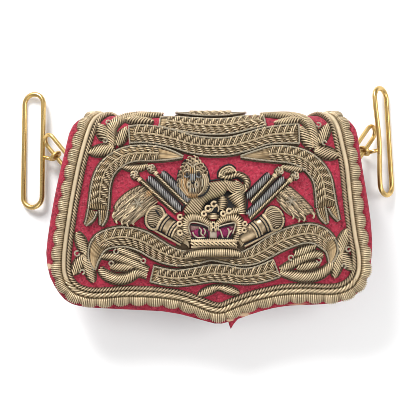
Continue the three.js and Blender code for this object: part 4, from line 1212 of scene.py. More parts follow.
# ahead points to a flag's free end, its strands lie at the angle across, and edge is the first of two hems.
FLAGS = {
    "left_flag": {
        "shape": [
            (-37, 18.6), (-41.5, 16.6), (-47, 13), (-51.5, 8.5), (-53.2, 3), (-52.4, -1.8), (-50, -0.6),
            (-47, -2.8), (-42, -2.6), (-36.5, 2), (-31, 7), (-28, 9.6),
        ],
        "ahead": (-0.74, -0.67),
        "across": 42,
        "edge": [(-38, 17.4), (-43.5, 14.6), (-48.6, 10.4), (-51.6, 5.6)],
        "next_edge": (1.5, -1.5),
        "star": (-39.2, 9.0),
        "patch": (-33.8, 13.6, 5.4, 4.6, 42),
        "patch_finish": "tan",
        "fringe": [(-51.8, 4), (-50, 1.2), (-47, 0.4), (-44, -0.4), (-41, 0.4)],
    },
    "right_flag": {
        "shape": [
            (41.4, 18.6), (46, 14.6), (51, 10), (55.2, 5.4), (56.6, 2.4), (53.4, 3.2), (51.2, 2),
            (51.6, -0.8), (47, 0), (42, 3), (37.4, 7.4), (34.6, 12.2),
        ],
        "ahead": (0.74, -0.67),
        "across": 138,
        "edge": [(41.6, 17.2), (45.8, 13.6), (50.2, 9.4), (54.2, 4.8)],
        "next_edge": (-1.6, -1.5),
        "star": (43.2, 10.0),
        "patch": (39.2, 13.2, 5.4, 4.4, 138),
        "patch_finish": "gilt",
        "fringe": [(54.4, 4), (49.4, 2.4), (46.6, 2), (43.4, 3.6)],
    },
}
# side is 1 where the mouth is on the left. hatch is the angle of the mouth's strands.
BARRELS = {
    "left_barrel": {
        "line": [(-34.4, 3.6, 5.4), (-30, 1, 6.6), (-26, -1.6, 5.2), (-19, -6.2, 4.8), (-13.5, -9.8, 4)],
        "side": 1,
        "hatch": -14,
        "slits": [[(-29.6, 5.2), (-28.6, 3.6), (-27.4, 2.0)]],
        "tail_cords": np.linspace(-0.85, 0.85, 7),
    },
    "right_barrel": {
        "line": [(38.4, 3, 4.4), (34, 0.6, 5.8), (29, -2.4, 5), (22, -6.6, 4.4), (15.5, -10.4, 3.6)],
        "side": -1,
        "hatch": 16,
        "slits": [],
        "tail_cords": (-0.85, -0.6),
    },
}
BARREL_BODY = ((6.5, 5.2), (9.5, 5.0), (11.5, 4.5), (16, 4.3), (20, 4.1))
# Bands round a barrel: distance from its mouth's end, half of the width, thickness and finish.
BARREL_BANDS = (
    (9.2, 5.1, 0.85, "gilt"), (10.4, 5.0, 0.4, "black"), (11.2, 4.7, 0.55, "dull"),
    (12.0, 4.6, 0.35, "black"), (15.0, 4.5, 0.6, "dull"), (15.8, 4.45, 0.35, "black"),
    (16.6, 4.4, 0.6, "dull"), (17.4, 4.3, 0.35, "black"), (18.2, 4.2, 0.55, "gilt"),
)


class POUCH_OT_arms(bpy.types.Operator):
    """Gun barrels, flags on their poles, and rods behind the lion."""

    bl_idname = "pouch.arms"
    bl_label = "Guns and Flags"

    def execute(self, context):
        for name, rows in STAVES.items():
            # The rods' pads and edge threads are black: painted shade between and beside their strands.
            piece = Piece(name + "_threads", "grey", "black")
            rope(piece, rows, 2.6, 0.8, -0.75 if "left" in name else 0.75)
            piece.done("dark_bullion", name)
        for name, ends in POLES.items():
            self.pole(name, *map(np.array, ends))
        for name, facts in FLAGS.items():
            self.flag(name, **facts)
        for name, facts in BARRELS.items():
            self.barrel(name, **facts)
        return {"FINISHED"}

    def pole(self, name, start, end, head):
        """A thin pole with a spear head between two curls."""
        piece = Piece(name + "_threads", "gilt", "padding", "silver")
        run = Route([(*start, 0.7), (*((start + end) / 2), 0.7), (*end, 0.7)])
        outline_and_shade(piece, run, 0.45)
        padding(piece, run, 0.1, 1.6, across=3)
        satin(piece, run, 0.98, 0.36, 0.5, 0.5, 2.0, tone=0.95, spread=0.2)
        ahead = (start - end) / np.linalg.norm(start - end)
        aside = np.array([-ahead[1], ahead[0]])
        angle = math.degrees(math.atan2(ahead[1], ahead[0]))
        leaf(piece, *(head + ahead * 0.4), 4.8, 4.0, angle, high=2.7, tone=0.55, lean=0.5)
        for side, size in ((-1, 0.95), (0, 1.1), (1, 0.95)):
            spot = head + ahead * (1.5 - 0.7 * abs(side)) + aside * side * 1.2
            hook(piece, *spot, size, angle + 150, 260, 2.9, 0.44, "silver" if side else "gilt", 0.85)
        for lift in (-2.6, -3.4):
            collar = [tuple(head + ahead * lift + aside * x) for x in (-1.2, 0, 1.2)]
            stroke(piece, collar, 2.2, 0.4, 0.95)
        piece.done("pale_bullion", name)

    def flag(self, name, shape, ahead, across, edge, next_edge, star, patch, patch_finish, fringe):
        """A furled flag: long strands under scattered short ones, two hems, a star, a patch and a fringe."""
        piece = Piece(name + "_threads", "dull", "padding", "silver", "gilt", "tan")
        cushion = Cushion(shape, 2.2, 2.4)
        cushion.fill(piece)
        cushion.hatch(piece, across, tone=0.42, spread=0.7, bend=0.5)
        self.scatter(piece, cushion, np.array(ahead))
        for k in range(2):
            hem = [(u + k * next_edge[0], v + k * next_edge[1], 1.0) for u, v in edge]
            rope(piece, hem, 3.1 - 0.1 * k, 0.8, 1.1, pitch=1.2)
        for turn in np.radians((12, 72, 132)):
            tip = np.array([math.cos(turn), math.sin(turn)]) * 2.9
            cord(piece, [(*(star + tip * t), 3.3) for t in (-1, 0, 1)], 0.5, 1.4, 0.6, "silver")
        leaf(piece, *patch, high=2.9, tone=0.7, lean=0.0, material=patch_finish)
        for u, v in fringe:
            hair = [(u, v), (u + ahead[0] * 1.6, v - 1.8), (u + ahead[0] * 0.6, v - 3.2)]
            stroke(piece, hair, 1.9, 0.5, 0.8, "gilt")
        piece.done("bullion", name)

    def scatter(self, piece, cushion, ahead):
        """Short strands, light and dark, over a flag."""
        aside = np.array([-ahead[1], ahead[0]])
        centre = np.mean(cushion.shape, axis=0)
        for _ in range(150):
            spot = centre + ahead * DRAW.uniform(-9, 11) + aside * DRAW.uniform(-8.5, 8.5)
            turn = DRAW.uniform(-0.2, 0.2)
            way = ahead + aside * turn
            long = DRAW.uniform(1.6, 3.2)
            line = [tuple(spot + way * long * t + aside * 0.3 * turn * t * t) for t in (-1, 0, 1)]
            if all(within(cushion.shape, place) for place in line):
                tone = DRAW.uniform(0.05, 0.95)
                material = "dull" if tone < 0.75 else "gilt"
                stroke(piece, line, lambda u, v: cushion.height(u, v) + 0.42, 0.32, tone, material, dip=0.3)

    def barrel(self, name, line, side, hatch, slits, tail_cords):
        """A gun barrel of worn plate, with cords round it and along it, and its mouth in a ring."""
        route = Route(line)
        long = route.length
        piece = Piece(name + "_plate", "plate", "padding", "dull", "gilt", "black")
        body = Route([(*route.spot(s), half) for s, half in (*BARREL_BODY, (long, 3.3))])
        padding(piece, body, 0.2, 3.4, step=0.9, across=12, material=SURFACE)
        t = np.linspace(-1, 1, 14)
        for s, half, thick, material in BARREL_BANDS:
            spots = route.spots(s - 0.8 * (1 - t**2), t * half * 0.97, 0.6 + 3.0 * (1 - t**2) ** 0.5)
            cord(piece, spots, thick, 1.9, 0.85, material)
        self.mouth(piece, *route.spot(5.0), math.radians(-20 * side), hatch)
        for points in slits:
            stroke(piece, points, 4.35, 0.5, 0.5, "black")
        s = np.arange(6, long, 0.6)
        edge = np.interp(s, [0, long], [5.3, 3.6])
        # Along one side a black cord, painted shade at the barrel's edge, then a dull cord beyond it.
        for h, out, thick, material in ((1.3, 0.2, 0.5, "black"), (1.5, 1.1, 0.62, "dull")):
            cord(piece, route.spots(s, -side * (edge + out), h), thick, 1.6, 0.8, material)
        tail = np.arange(0.76 * long, long, 0.6)
        for t in tail_cords:
            h = 0.75 + 3.0 * (1 - t * t) ** 0.5
            cord(piece, route.spots(tail, t * 3.9, h), 0.5, 1.7, 0.6, "dull", 0.4)
            groove = route.spots(tail, (t + 0.14) * 3.9, h - 0.1)
            piece.on_face(groove, 0.22, 0.5, material="black", sides=4)
        # A black thread along the other side: painted shade at the barrel's edge.
        piece.on_face(route.spots(s, side * (edge + 0.3), 0.4), 0.5, 0.5, material="black", sides=4)
        piece.done("metal_plate", name)

    def mouth(self, piece, u, v, lean, hatch):
        """The oval mouth at the end of a barrel, with three cords round it."""
        turns = np.linspace(0, 2 * math.pi, 20, endpoint=False)
        oval = [(4.7 * math.cos(a), 6.1 * math.sin(a)) for a in turns]
        cos, sin = math.cos(lean), math.sin(lean)
        shape = [(u + x * cos - y * sin, v + x * sin + y * cos) for x, y in oval]
        cushion = Cushion(shape, 3.9, 1.8)
        cushion.fill(piece)
        cushion.hatch(piece, hatch, 1.0, 0.31, tone=0.6, spread=0.5, material="dull", bend=1.3)
        ring = Route([*shape, shape[0]])
        s = np.arange(0, ring.length, 0.6)
        for out, thick, h, material in (
            (0.0, 0.8, 2.2, "gilt"), (-0.9, 0.45, 0.5, "black"), (0.85, 0.35, 2.9, "black"),
        ):
            cord(piece, ring.spots(s, out, h), thick, 2.1, 0.7, material)


# -------------------------------------------------------------------------------------------------
# Crown and lion


CROWN_BANDS = {
    "crown_roll": [
        (-14, -20, 1.1), (-12, -19, 1.9), (-8, -18.1, 2.3), (-3, -17.6, 2.4), (3, -17.4, 2.4),
        (9, -17.5, 2.4), (13.4, -18, 2.2), (15.8, -18.6, 1.3),
    ],
    "crown_left_arch": [
        (-13, -7.6, 1.6), (-14, -5, 2.1), (-13.8, -1.4, 2.3), (-11.6, 1, 2.3), (-8.4, 1.4, 2.2),
        (-5, 0.5, 2.1), (-2.3, -1.2, 1.7), (-0.6, -3.4, 1),
    ],
    "crown_right_arch": [
        (14.8, -7.6, 1.6), (15.5, -5, 2.1), (15.2, -1.4, 2.3), (13, 0.9, 2.3), (10, 1.3, 2.2),
        (6.8, 0.4, 2.1), (4.4, -1.2, 1.7), (3, -3.4, 1),
    ],
}
CROWN_CAP = [
    (-10.4, -10), (-12, -4), (-11.4, -1.8), (-3, -3), (1.4, -4), (6, -2.8), (12.8, -1.8), (13.2, -4),
    (11.4, -10),
]
# Dark pads on either side below the arches: painted shade on the crown's sides.
CROWN_SHADES = (
    [(-17.6, -8.8), (-11, -9), (-10.8, -15.6), (-14.4, -17.4), (-19.4, -14.4)],
    [(13.6, -9.4), (16, -10), (20.6, -12.6), (17, -16.6), (14, -15.6)],
)
CROWN_FRONT = [(-1.6, -0.8), (4.4, -0.8), (4.1, -6.2), (-1.3, -6.2)]
RUBBED = (
    [(-11.4, -2.1), (-8.6, -2.1), (-5.2, -3.4), (-6.2, -5.4), (-9, -5.9), (-11, -6.2)],
    [(9.4, -2.5), (12.4, -2.2), (12.6, -4.2), (10.4, -5.2)],
)
CROWN_WIRES = [
    [
        (-10.9, -8), (-11.9, -5), (-11.6, -2.2), (-9.6, -1.3), (-6, -1.9), (-2.6, -3.1), (-0.9, -4.4),
        (-1.1, -5.8),
    ],
    [(3.5, -5.4), (3.9, -3.9), (7, -2.7), (11, -1.8), (12.9, -1.8), (12.9, -4), (11.6, -7.6)],
    [(-9.8, -6.6), (-9, -8.4), (-7, -9.6), (-4.6, -9.4), (-3.2, -9.4)],
    [(-6.4, -4.2), (-5.2, -5.4), (-5.4, -7.4), (-4, -8.6)], [(-4, -4.6), (-3, -6), (-3.6, -8)],
    [(4.6, -5), (5.4, -6.6), (6, -8.6), (6.6, -10)], [(11.2, -5.6), (10, -7), (9.2, -8.6), (8.6, -10)],
    [(9, -4.6), (9.8, -6), (9.4, -7.6)],
]
# Black strokes on the velvet cap: painted shade under its wires and along the top and foot of its windows.
CAP_SHADES = [
    [(-11, -9.9), (-6, -9.7), (-1.6, -9.9)],
    [(3.8, -9.9), (8, -9.9), (11.6, -9.9)],
    [(-5.8, -4.4), (-6.5, -6.5), (-6, -8.6)],
    [(-2.4, -6.2), (-1.7, -8), (-1.9, -9.6)],
    [(4.2, -9.8), (4.9, -8.4)],
    [(9.5, -6.8), (9.4, -9.6)],
    [(11.9, -6.6), (10.6, -9.4)],
    [(-10.6, -2.7), (-6, -3.1), (-3, -4.2), (-1.8, -5)],
    [(4.4, -4.4), (8, -3.4), (12, -2.7)],
]
CAP_JEWEL = [(-0.9, -6), (3.4, -6), (3.4, -10), (-0.9, -10)]
# Curls on the crown's points: place and radius.
CURLS = [
    (1.6, 8.3, 1.4), (-1.6, 6, 1.4), (-3.8, 3.2, 1.2), (6.5, 3.2, 1.2), (9.7, 4.6, 1.3), (-16.6, 1.4, 1.2),
    (-16.8, -2.2, 1.2), (-16.6, -7, 1.2), (18.2, -2.2, 1.1), (17.8, -5.6, 1.1),
]
CURL_STEMS = [
    [(1.6, 6.8), (0.6, 5.2), (-0.4, 4.4), (-2.4, 4.2)],
    [(3.4, 7.8), (4.2, 6), (3.8, 4.4)],
    [(7.6, 3.6), (9, 3), (10.6, 3.4)],
]


class POUCH_OT_crown(bpy.types.Operator):
    """The crown, with its velvet cap, arches, band, roll and orb."""

    bl_idname = "pouch.crown"
    bl_label = "Crown"

    def execute(self, context):
        for name, rows in CROWN_BANDS.items():
            piece = Piece(name + "_threads", "gilt", "padding")
            roll = name == "crown_roll"
            rope(piece, rows, 5.4 if roll else 4.2, lean=0.0, tone=0.95, pitch=1.02)
            if roll:
                # Dark threads along both edges of the roll: painted shadow beside and under it.
                outline_and_shade(piece, Route(rows), 0.4, radius=0.5, h=3.3)
            piece.done("pale_bullion", name)
        self.band()
        self.cap()
        self.orb()
        return {"FINISHED"}

    def band(self):
        """The band over the roll, with dark pads of painted shade for the crown's sides behind it."""
        piece = Piece("crown_band_threads", "gilt", "padding")
        route = Route([(-10.8, -13.1, 1.9), (1.5, -12.8, 1.9), (14, -13.2, 1.9)])
        outline_and_shade(piece, route)
        for shape in CROWN_SHADES:
            Cushion(shape, 0.8, 0.8).fill(piece)
        for k in range(4):
            left = [(-17.4 + 0.8 * k, -9.4 - 0.9 * k), (-14 + 0.5 * k, -10.6 - k), (-11.8, -13.2 - 0.6 * k)]
            right = [(15 + 0.9 * k, -10.4 - 0.6 * k), (15.2 + 0.3 * k, -12 - 0.8 * k)]
            stroke(piece, left, 1.5, 0.36, 0.6)
            stroke(piece, right, 1.5, 0.36, 0.5)
        padding(piece, route, 0.1, 2.7, inset=0.2)
        satin(piece, route, 1.62, 0.44, -0.8, 1.5, 3.4, lambda s: (-1.0, 0.95), steps=7, tone=0.95)
        for offset in (-1.85, -1.35, 1.25, 1.85):
            piece.on_face(route.spots(np.linspace(0, route.length, 30), offset, 2.5), 0.3, 0.75)
        piece.done("bullion", "crown_band")

    def cap(self):
        """The velvet cap between the arches, rubbed in places, with its wires, front and jewel."""
        piece = Piece(
            "crown_cap_velvet", "velvet", "padding", "silver", "gilt", "jewel", "black", "rubbed", "dull",
        )
        Cushion(CROWN_CAP, 1.6, 3).fill(piece, SURFACE, sink=0)
        for shape in RUBBED:
            Cushion(shape, 1.95, 0.8, 0.8).fill(piece, "rubbed", cell=1.2, sink=0)
        for u, turn in ((-12.2, 100), (14, 80)):
            leaf(piece, u, -9.4, 4.6, 4.2, turn, high=2.8, lean=0.0, tone=0.9, material="dull")
        rope(
            piece, [(-11, -10.8, 0.5), (1.4, -10.6, 0.5), (13.6, -10.8, 0.5)], 2.6, 0.8, 0.0, material="gilt",
        )
        for points in CROWN_WIRES:
            stroke(piece, points, 2.3, 0.4, 0.85, "silver")
        for points in CAP_SHADES:
            stroke(piece, points, 2.0, 0.42, 0.5, "black")
        front = Cushion(CROWN_FRONT, 3.3, 1.5)
        front.fill(piece)
        front.hatch(piece, 90, 1.0, 0.34, tone=0.85, spread=0.3, material="gilt")
        for u, v in ((1.3, -2.4), (1.3, -5.1)):
            piece.ball(u, v, 3.9, (0.55, 0.55, 0.55), "black")
            loop = [
                (u - 1.1, v - 1.2), (u - 0.8, v + 0.5), (u, v + 1.2), (u + 0.8, v + 0.5), (u + 1.1, v - 1.2),
            ]
            stroke(piece, loop, 3.7, 0.34, 0.9, "gilt")
        Cushion(CAP_JEWEL, 3.4, 0.6).fill(piece, "jewel", cell=0.8)
        piece.done("velvet", "crown_cap")

    def orb(self):
        """The orb on the arches, and curls on all the crown's points."""
        piece = Piece("crown_orb_threads", "gilt", "padding")
        leaf(piece, 1.3, 1.9, 3.2, 6, 90, high=3.8, lean=0.0, pitch=0.8, tone=0.85)
        for u, v, radius in CURLS:
            hook(piece, u, v, radius, 40, 330, 4.1, 0.62, SURFACE, 0.85)
            hook(piece, u, v, radius * 0.45, 0, 350, 3.6, 0.5, FILLING_AND_SHADE, 0.1)
        for points in CURL_STEMS:
            stroke(piece, points, 3.0, 0.42, 0.8)
        piece.done("bullion", "crown_orb")


LION_HEAD = [
    (-9.6, 34.2), (-12.4, 33), (-14.4, 30.6), (-16, 28), (-17.3, 24), (-17.9, 20), (-17.2, 16.4), (-15, 13.4),
    (-12, 11.6), (-9, 11), (-6, 11.8), (-3.6, 14), (-1.8, 17), (-1, 20.4), (-1.8, 24), (-3, 27.4), (-5, 30.6),
    (-7, 33),
]
LION_BODY = [
    (-2.8, 20), (1, 20.3), (5, 21), (9.4, 21.3), (9.4, 17), (8.2, 15), (6.6, 13), (3, 11.8), (0, 10.8),
    (-2.5, 9.4), (-4, 7), (-4.8, 4), (-5.4, 2.4), (-15.4, 3.4), (-13.9, 6.5), (-12, 9.5), (-10.8, 12),
    (-6.6, 12.6), (-4.2, 15), (-2.8, 18),
]
# A black pad under the lion's belly and hind leg: painted shade where the cloth shows between them.
LION_SHADE = [
    (-5.4, 3), (-3.8, 9.6), (3, 12.4), (7.6, 15.6), (12, 15.4), (16, 12), (18.4, 6), (17, 3.4), (6, 2),
    (0, 2),
]
LION_LEG = [
    (13, 14.6, 4.6), (13.8, 12.4, 4.5), (14.9, 10, 3.6), (16, 7.6, 2.4), (16.6, 5, 2), (16.4, 2.8, 2.1),
]
LION_THIGH = [(6.1, 12.6, 1.1), (6.3, 10.6, 2.2), (6.2, 7.8, 2), (5.5, 5, 1.4)]
LION_TAIL = [
    (16.6, 16.6, 1), (19, 18, 1.35), (19.5, 20.4, 1.4), (17.8, 22.9, 1.4), (14, 24.3, 1.35), (10, 23, 1.35),
    (6.6, 22.8, 1.3), (5.2, 24.6, 1.1),
]
LION_FACE = [
    (-15, 25.4), (-15.6, 20), (-13.8, 15), (-9.6, 12.4), (-6, 14.4), (-4, 19), (-4.4, 25), (-7, 28),
    (-9.6, 29.4), (-12.4, 28),
]
LION_HAUNCH = [
    (8.3, 21.2), (8, 17.6), (9.6, 15), (12, 13.6), (15, 13.6), (17.6, 15.2), (18.2, 17.6), (16.6, 20.2),
    (13, 21.4),
]
TUFT = [
    (4, 22.2), (4.1, 25), (5.8, 27.2), (8.2, 28.8), (10.6, 29), (12.6, 27.6), (14.4, 25.2), (10, 24.4),
    (6.6, 22.6),
]
# Black lines along the body's outline: partly black outline thread, partly painted shade at its edges.
BODY_OUTLINE_SHADE = [
    [(-3.1, 20.6), (1, 21.2), (5, 21.8), (9.6, 22)],
    [(-12.4, 11.4), (-14, 8.4), (-16, 4.4)],
    [(18.8, 15), (19.6, 10), (19, 5)],
    [(-5, 2.6), (-4, 7), (-2, 9.4), (1.4, 10.8), (4, 11.4)],
    [(8.6, 12), (10.6, 9.4), (13.4, 7.2)],
]
# Black lines down both sides of the head: partly black outline thread, partly painted shade at its edges.
HEAD_OUTLINE_SHADE = [
    [(-17.2, 27), (-18.2, 21), (-17.4, 15.8), (-14.4, 12.2)],
    [(-4.4, 30.6), (-2.4, 27.6), (-1.2, 24), (-0.5, 20.4)],
    [(-13.6, 32.6), (-15.8, 29.4)],
]
# Rings of the mane's curls: distance from the head's edge, curls in a full ring, their radius, lowest v.
MANE = ((0.9, 26, 1.15, 17), (2.5, 21, 1.05, 25.5), (3.9, 16, 0.95, 27))


class POUCH_OT_lion(bpy.types.Operator):
    """The lion in raised bullion."""

    bl_idname = "pouch.lion"
    bl_label = "Lion"

    def execute(self, context):
        self.body()
        self.head()
        self.tail()
        return {"FINISHED"}

    def body(self):
        piece = Piece("lion_body_threads", "gilt", "padding", "black")
        Cushion(LION_SHADE, 0.6, 0.8).fill(piece, "black")
        trunk = Cushion(LION_BODY, 3.4, 3.2)
        trunk.fill(piece)
        trunk.hatch(piece, -47, tone=0.72)
        haunch = Cushion(LION_HAUNCH, 4.0, 3)
        haunch.fill(piece)
        for radius in np.arange(0.9, 7.6, 1.08):
            turn = np.radians(np.linspace(172, 322, max(5, int(radius * 2.2))))
            u, v = 14.3 + radius * 0.88 * np.cos(turn), 21.2 + radius * np.sin(turn)
            keep = v < 21.6 - (u - 9) * 0.05
            u, v = u[keep], v[keep]
            piece.on_face(zip(u, v, haunch.height(u, v) + 0.15), 0.35, 0.75 + 0.25 * (DRAW.random() - 0.5))
        rope(piece, LION_LEG, 3.7, 0.72, -0.15)
        rope(piece, LION_THIGH, 3.1, 0.72, 0.0)
        leaf(piece, 12.8, 4.6, 6.6, 3.6, 200, high=2.9, tone=0.72)
        for points in BODY_OUTLINE_SHADE:
            stroke(piece, points, 0.6, 0.48, 0.5, "black")
        # A black stroke where the head meets the body: painted shade under the head.
        stroke(piece, [(-7, 12.2), (-4, 13.2), (-2, 15.4), (-0.9, 18)], 3.9, 0.5, 0.5, "black")
        piece.done("pale_bullion", "lion_body")

    def head(self):
        piece = Piece(
            "lion_head_threads", "gilt", "padding", "silver", "black", "tan", "dull", "steel", "bead",
        )
        skull = Cushion(LION_HEAD, 4.0, 4.2)
        skull.fill(piece)

        def draw(points, lift, radius, tone, material=SURFACE):
            """A strand that follows the skull, lift above it."""
            stroke(piece, points, lambda u, v: skull.height(u, v) + lift, radius, tone, material, dip=0.15)

        self.fur(draw)
        self.mane(piece, skull)
        self.cheeks(draw)
        for side in (1, -1):
            self.eye(piece, skull, draw, -9.75 - 3.15 * side, side)
        self.muzzle(draw)
        for points in HEAD_OUTLINE_SHADE:
            stroke(piece, points, 0.7, 0.5, 0.5, "black")
        piece.done("bullion", "lion_head")

    def fur(self, draw):
        """Wavy strands down the whole face."""
        for u in np.arange(-14.8, -4, 1.0):
            run = [v for v in np.arange(12.4, 29, 0.5) if within(LION_FACE, (u, v))]
            if len(run) > 3:
                tone = 0.5 + 0.5 * (DRAW.random() - 0.5)
                draw(
                    [(u + 0.25 * math.sin(v * 0.9), v) for v in run[::3]], 0.05, 0.33, tone,
                    "tan" if u < -12 else "dull",
                )

    def mane(self, piece, skull):
        """Three rings of curls round the face, none of them below the cheeks."""
        rim = Route([*LION_HEAD, LION_HEAD[0]])
        for ring, (inset, count, size, lowest) in enumerate(MANE):
            for i in range(count):
                s = (i + 0.5 * (ring % 2)) * rim.length / count
                u, v = (float(x) for x in rim.spot(s, inset))
                if v < lowest or (u > -6 and v < 23):
                    continue
                outward = math.degrees(math.atan2(v - 20, u + 9.5))
                radius, start = size * jitter(0.15), outward + 120 + 60 * DRAW.random()
                high = float(skull.height(u, v)[0]) + 0.5 - 0.1 * ring
                material = "dull" if DRAW.random() < 0.5 else "gilt"
                hook(piece, u, v, radius, start, 250, high, 0.42, material, 0.35 + 0.4 * DRAW.random())

    def cheeks(self, draw):
        """Long locks down both sides of the face."""
        for k in range(5):
            lock = [
                (-7.4 + 0.95 * k, 12.6 + 0.1 * k), (-4.8 + 0.62 * k, 15.2), (-3.6 + 0.5 * k, 18.4),
                (-3.6 + 0.55 * k, 21.4), (-4.6 + 0.5 * k, 24.4),
            ]
            draw(lock, 0.35, 0.32, 0.7 - 0.3 * (k % 2), "dull" if k % 2 else "gilt")
        draw([(-4.9, 17.4), (-4.4, 19.6), (-4.9, 21.8)], 0.5, 0.34, 0.9, "silver")
        for k in range(4):
            wave = [(-16.8 + 0.85 * k + 0.3 * (i % 2), 21.5 - 1.9 * i + 0.1 * k) for i in range(3)]
            wave += [(-15.2 + 0.75 * k, 15.4), (-13 + 0.6 * k, 13 - 0.1 * k)]
            draw(wave, 0.4, 0.36, 0.75, "tan" if k % 2 else "gilt")

    def eye(self, piece, skull, draw, u, side):
        """A dark bead under a brow, with a lid below it. side is 1 for the eye on the left."""
        piece.ball(u, 24, float(skull.height(u, 24)[0]) + 1.15, (0.9, 1.15, 0.7), "bead")
        draw([(u - 1.4, 23.4), (u, 22.4), (u + 1.4, 23.4)], 0.65, 0.3, 0.8, "steel")
        draw([(u - 1.8, 25.4 - 0.3 * side), (u, 26.3), (u + 1.8, 25.4 + 0.3 * side)], 0.7, 0.36, 0.6)
        draw(
            [(u + 1.6 * side, 24.6), (u + 1.7 * side, 23.2), (u + 1.5 * side, 21.6)], 0.6, 0.34, 0.4, "black",
        )

    def muzzle(self, draw):
        """The nose between the eyes, its nostrils, the mouth's teeth and the beard."""
        for u in (-10.9, -9.9, -8.9):
            draw([(u, 20.8), (u + 0.1, 22.6), (u, 24.4)], 0.55, 0.28, 0.85, "steel")
            draw([(u, 24.6), (u - 0.1, 26.4), (u + 0.1, 28.4)], 0.5, 0.28, 0.8, "tan" if u < -9.5 else "gilt")
        draw(
            [(-12.6, 30.6), (-11, 29.4), (-9.7, 27.8), (-8.4, 29.4), (-6.8, 30.6)], 0.8, 0.32, 0.75, "silver",
        )
        turns = np.linspace(0, 2 * math.pi, 14)
        for u, wide in ((-11.8, 1.1), (-7.7, 0.95)):
            for part, lift, material in ((1.0, 0.5, "dull"), (0.62, 0.6, "silver"), (0.2, 0.75, "black")):
                ring = [(u + wide * part * math.cos(a), 18.7 + 2.0 * part * math.sin(a)) for a in turns]
                draw(ring, lift, 0.27, 0.9, material)
        draw([(-10.6, 20.2), (-9.7, 19.2), (-8.8, 20.2)], 0.7, 0.45, 0.3, "black")
        for k in range(5):
            u = -10.8 + k * 0.65
            draw([(u, 14.6), (u, 16.9)], 0.75 - 0.2 * (k % 2), 0.34, 0.95, "black" if k % 2 else "silver")
        for k in range(7):
            u = -13 + k * 1.15
            draw([(u, 13.9), (u - 0.2, 12.6), (u + 0.3, 11.5)], 0.35, 0.4, 0.7, "tan")

    def tail(self):
        piece = Piece("lion_tail_threads", "gilt", "padding", "black")
        rope(piece, LION_TAIL, 3.3, 0.8, 0.7, 1.35, radius=0.44)
        tuft = Cushion(TUFT, 2.7, 1.8)
        tuft.fill(piece)
        for k, thick in enumerate((0.55, 0.42, 0.42)):
            coil = Route(
                [
                    (4.4 + 1.3 * k, 23 + 0.3 * k), (4.9 + 1.2 * k, 25.4 - 0.1 * k),
                    (6.9 + 0.8 * k, 27.5 - 1.0 * k), (10.2, 28.6 - 1.3 * k), (12.4 - 0.5 * k, 27.2 - 1.1 * k),
                    (13.8 - 1.2 * k, 25.2),
                ],
            )
            u, v = coil.spot(np.arange(0, coil.length, 0.5))
            cord(piece, zip(u, v, tuft.height(u, v) + 0.3), thick, 1.5, 0.85 - 0.2 * k)
        leaf(piece, 9.9, 26.1, 4.6, 1.9, 12, high=3.9, tone=0.95)
        # Black strokes under the tail and round the tuft: painted shade at their edges.
        stroke(piece, [(5, 21.6), (9, 21.9), (14, 22.8), (17, 20.6)], 0.6, 0.65, 0.5, "black")
        rim = [(3.6, 22.6), (3.6, 25.4), (5.5, 27.9), (8.2, 29.4), (10.9, 29.6), (13.4, 27.8)]
        stroke(piece, rim, 0.5, 0.45, 0.5, "black")
        piece.done("bullion", "lion_tail")


# -------------------------------------------------------------------------------------------------
# Brass


SLIDE_WIDTH, RING_WIDTH = 11.6, 8.6
EYE_WIRE, EYE_PLAY = 1.1, 0.45
# bar is the middle of a slide's outer bar. tilt lifts its inner bar and lean turns it, in degrees, and bow
# pushes its inner bar out. out and inside are the ring's ends, and grip is where along the ring the eye is.
SIDES = {
    "left": {
        "sign": -1, "bar": (106.2, 40.6), "tilt": 17, "lean": 0.0, "length": 64.8, "bow": 0.0,
        "out": (92.8, 47.6, 9.2), "inside": (78, 29.5, 13), "grip": 0.52,
    },
    "right": {
        "sign": 1, "bar": (101.4, 45.6), "tilt": 48, "lean": 2.6, "length": 61.2, "bow": -1.8,
        "out": (92.4, 53, 5.6), "inside": (78.6, 33, 13), "grip": 0.46,
    },
}


def racetrack(length, width, bow=0.0, arc=14, straight=10):
    """Points of a long loop with round ends, its sides along y. bow pushes the middle of its +x side."""
    radius = width / 2
    reach = length / 2 - radius
    turns = np.linspace(0, math.pi, arc)
    ends = [
        [
            (sign * radius * math.cos(t), sign * (reach + radius * math.sin(t))) for t in turns
        ] for sign in (1, -1)
    ]
    along = np.linspace(0, 1, straight + 2)[1:-1]
    left = [(-radius, reach * (1 - 2 * t)) for t in along]
    right = [(radius + bow * math.sin(math.pi * t) ** 2, reach * (2 * t - 1)) for t in along]
    return ends[0] + left + ends[1] + right


def circle(centre, axis, radius, count=32):
    across = axis.orthogonal().normalized()
    up = axis.cross(across).normalized()
    turns = np.linspace(0, 2 * math.pi, count, endpoint=False)
    return [centre + across * radius * math.cos(t) + up * radius * math.sin(t) for t in turns]


def square_to(vector, axis):
    """The part of a vector that stands square to an axis, made one long."""
    return (vector - axis * vector.dot(axis)).normalized()


def wire(piece, points, radius, closed=True):
    """A round wire through places in millimetres."""
    piece.thread([point * MM for point in points], radius, sides=12, closed=closed)


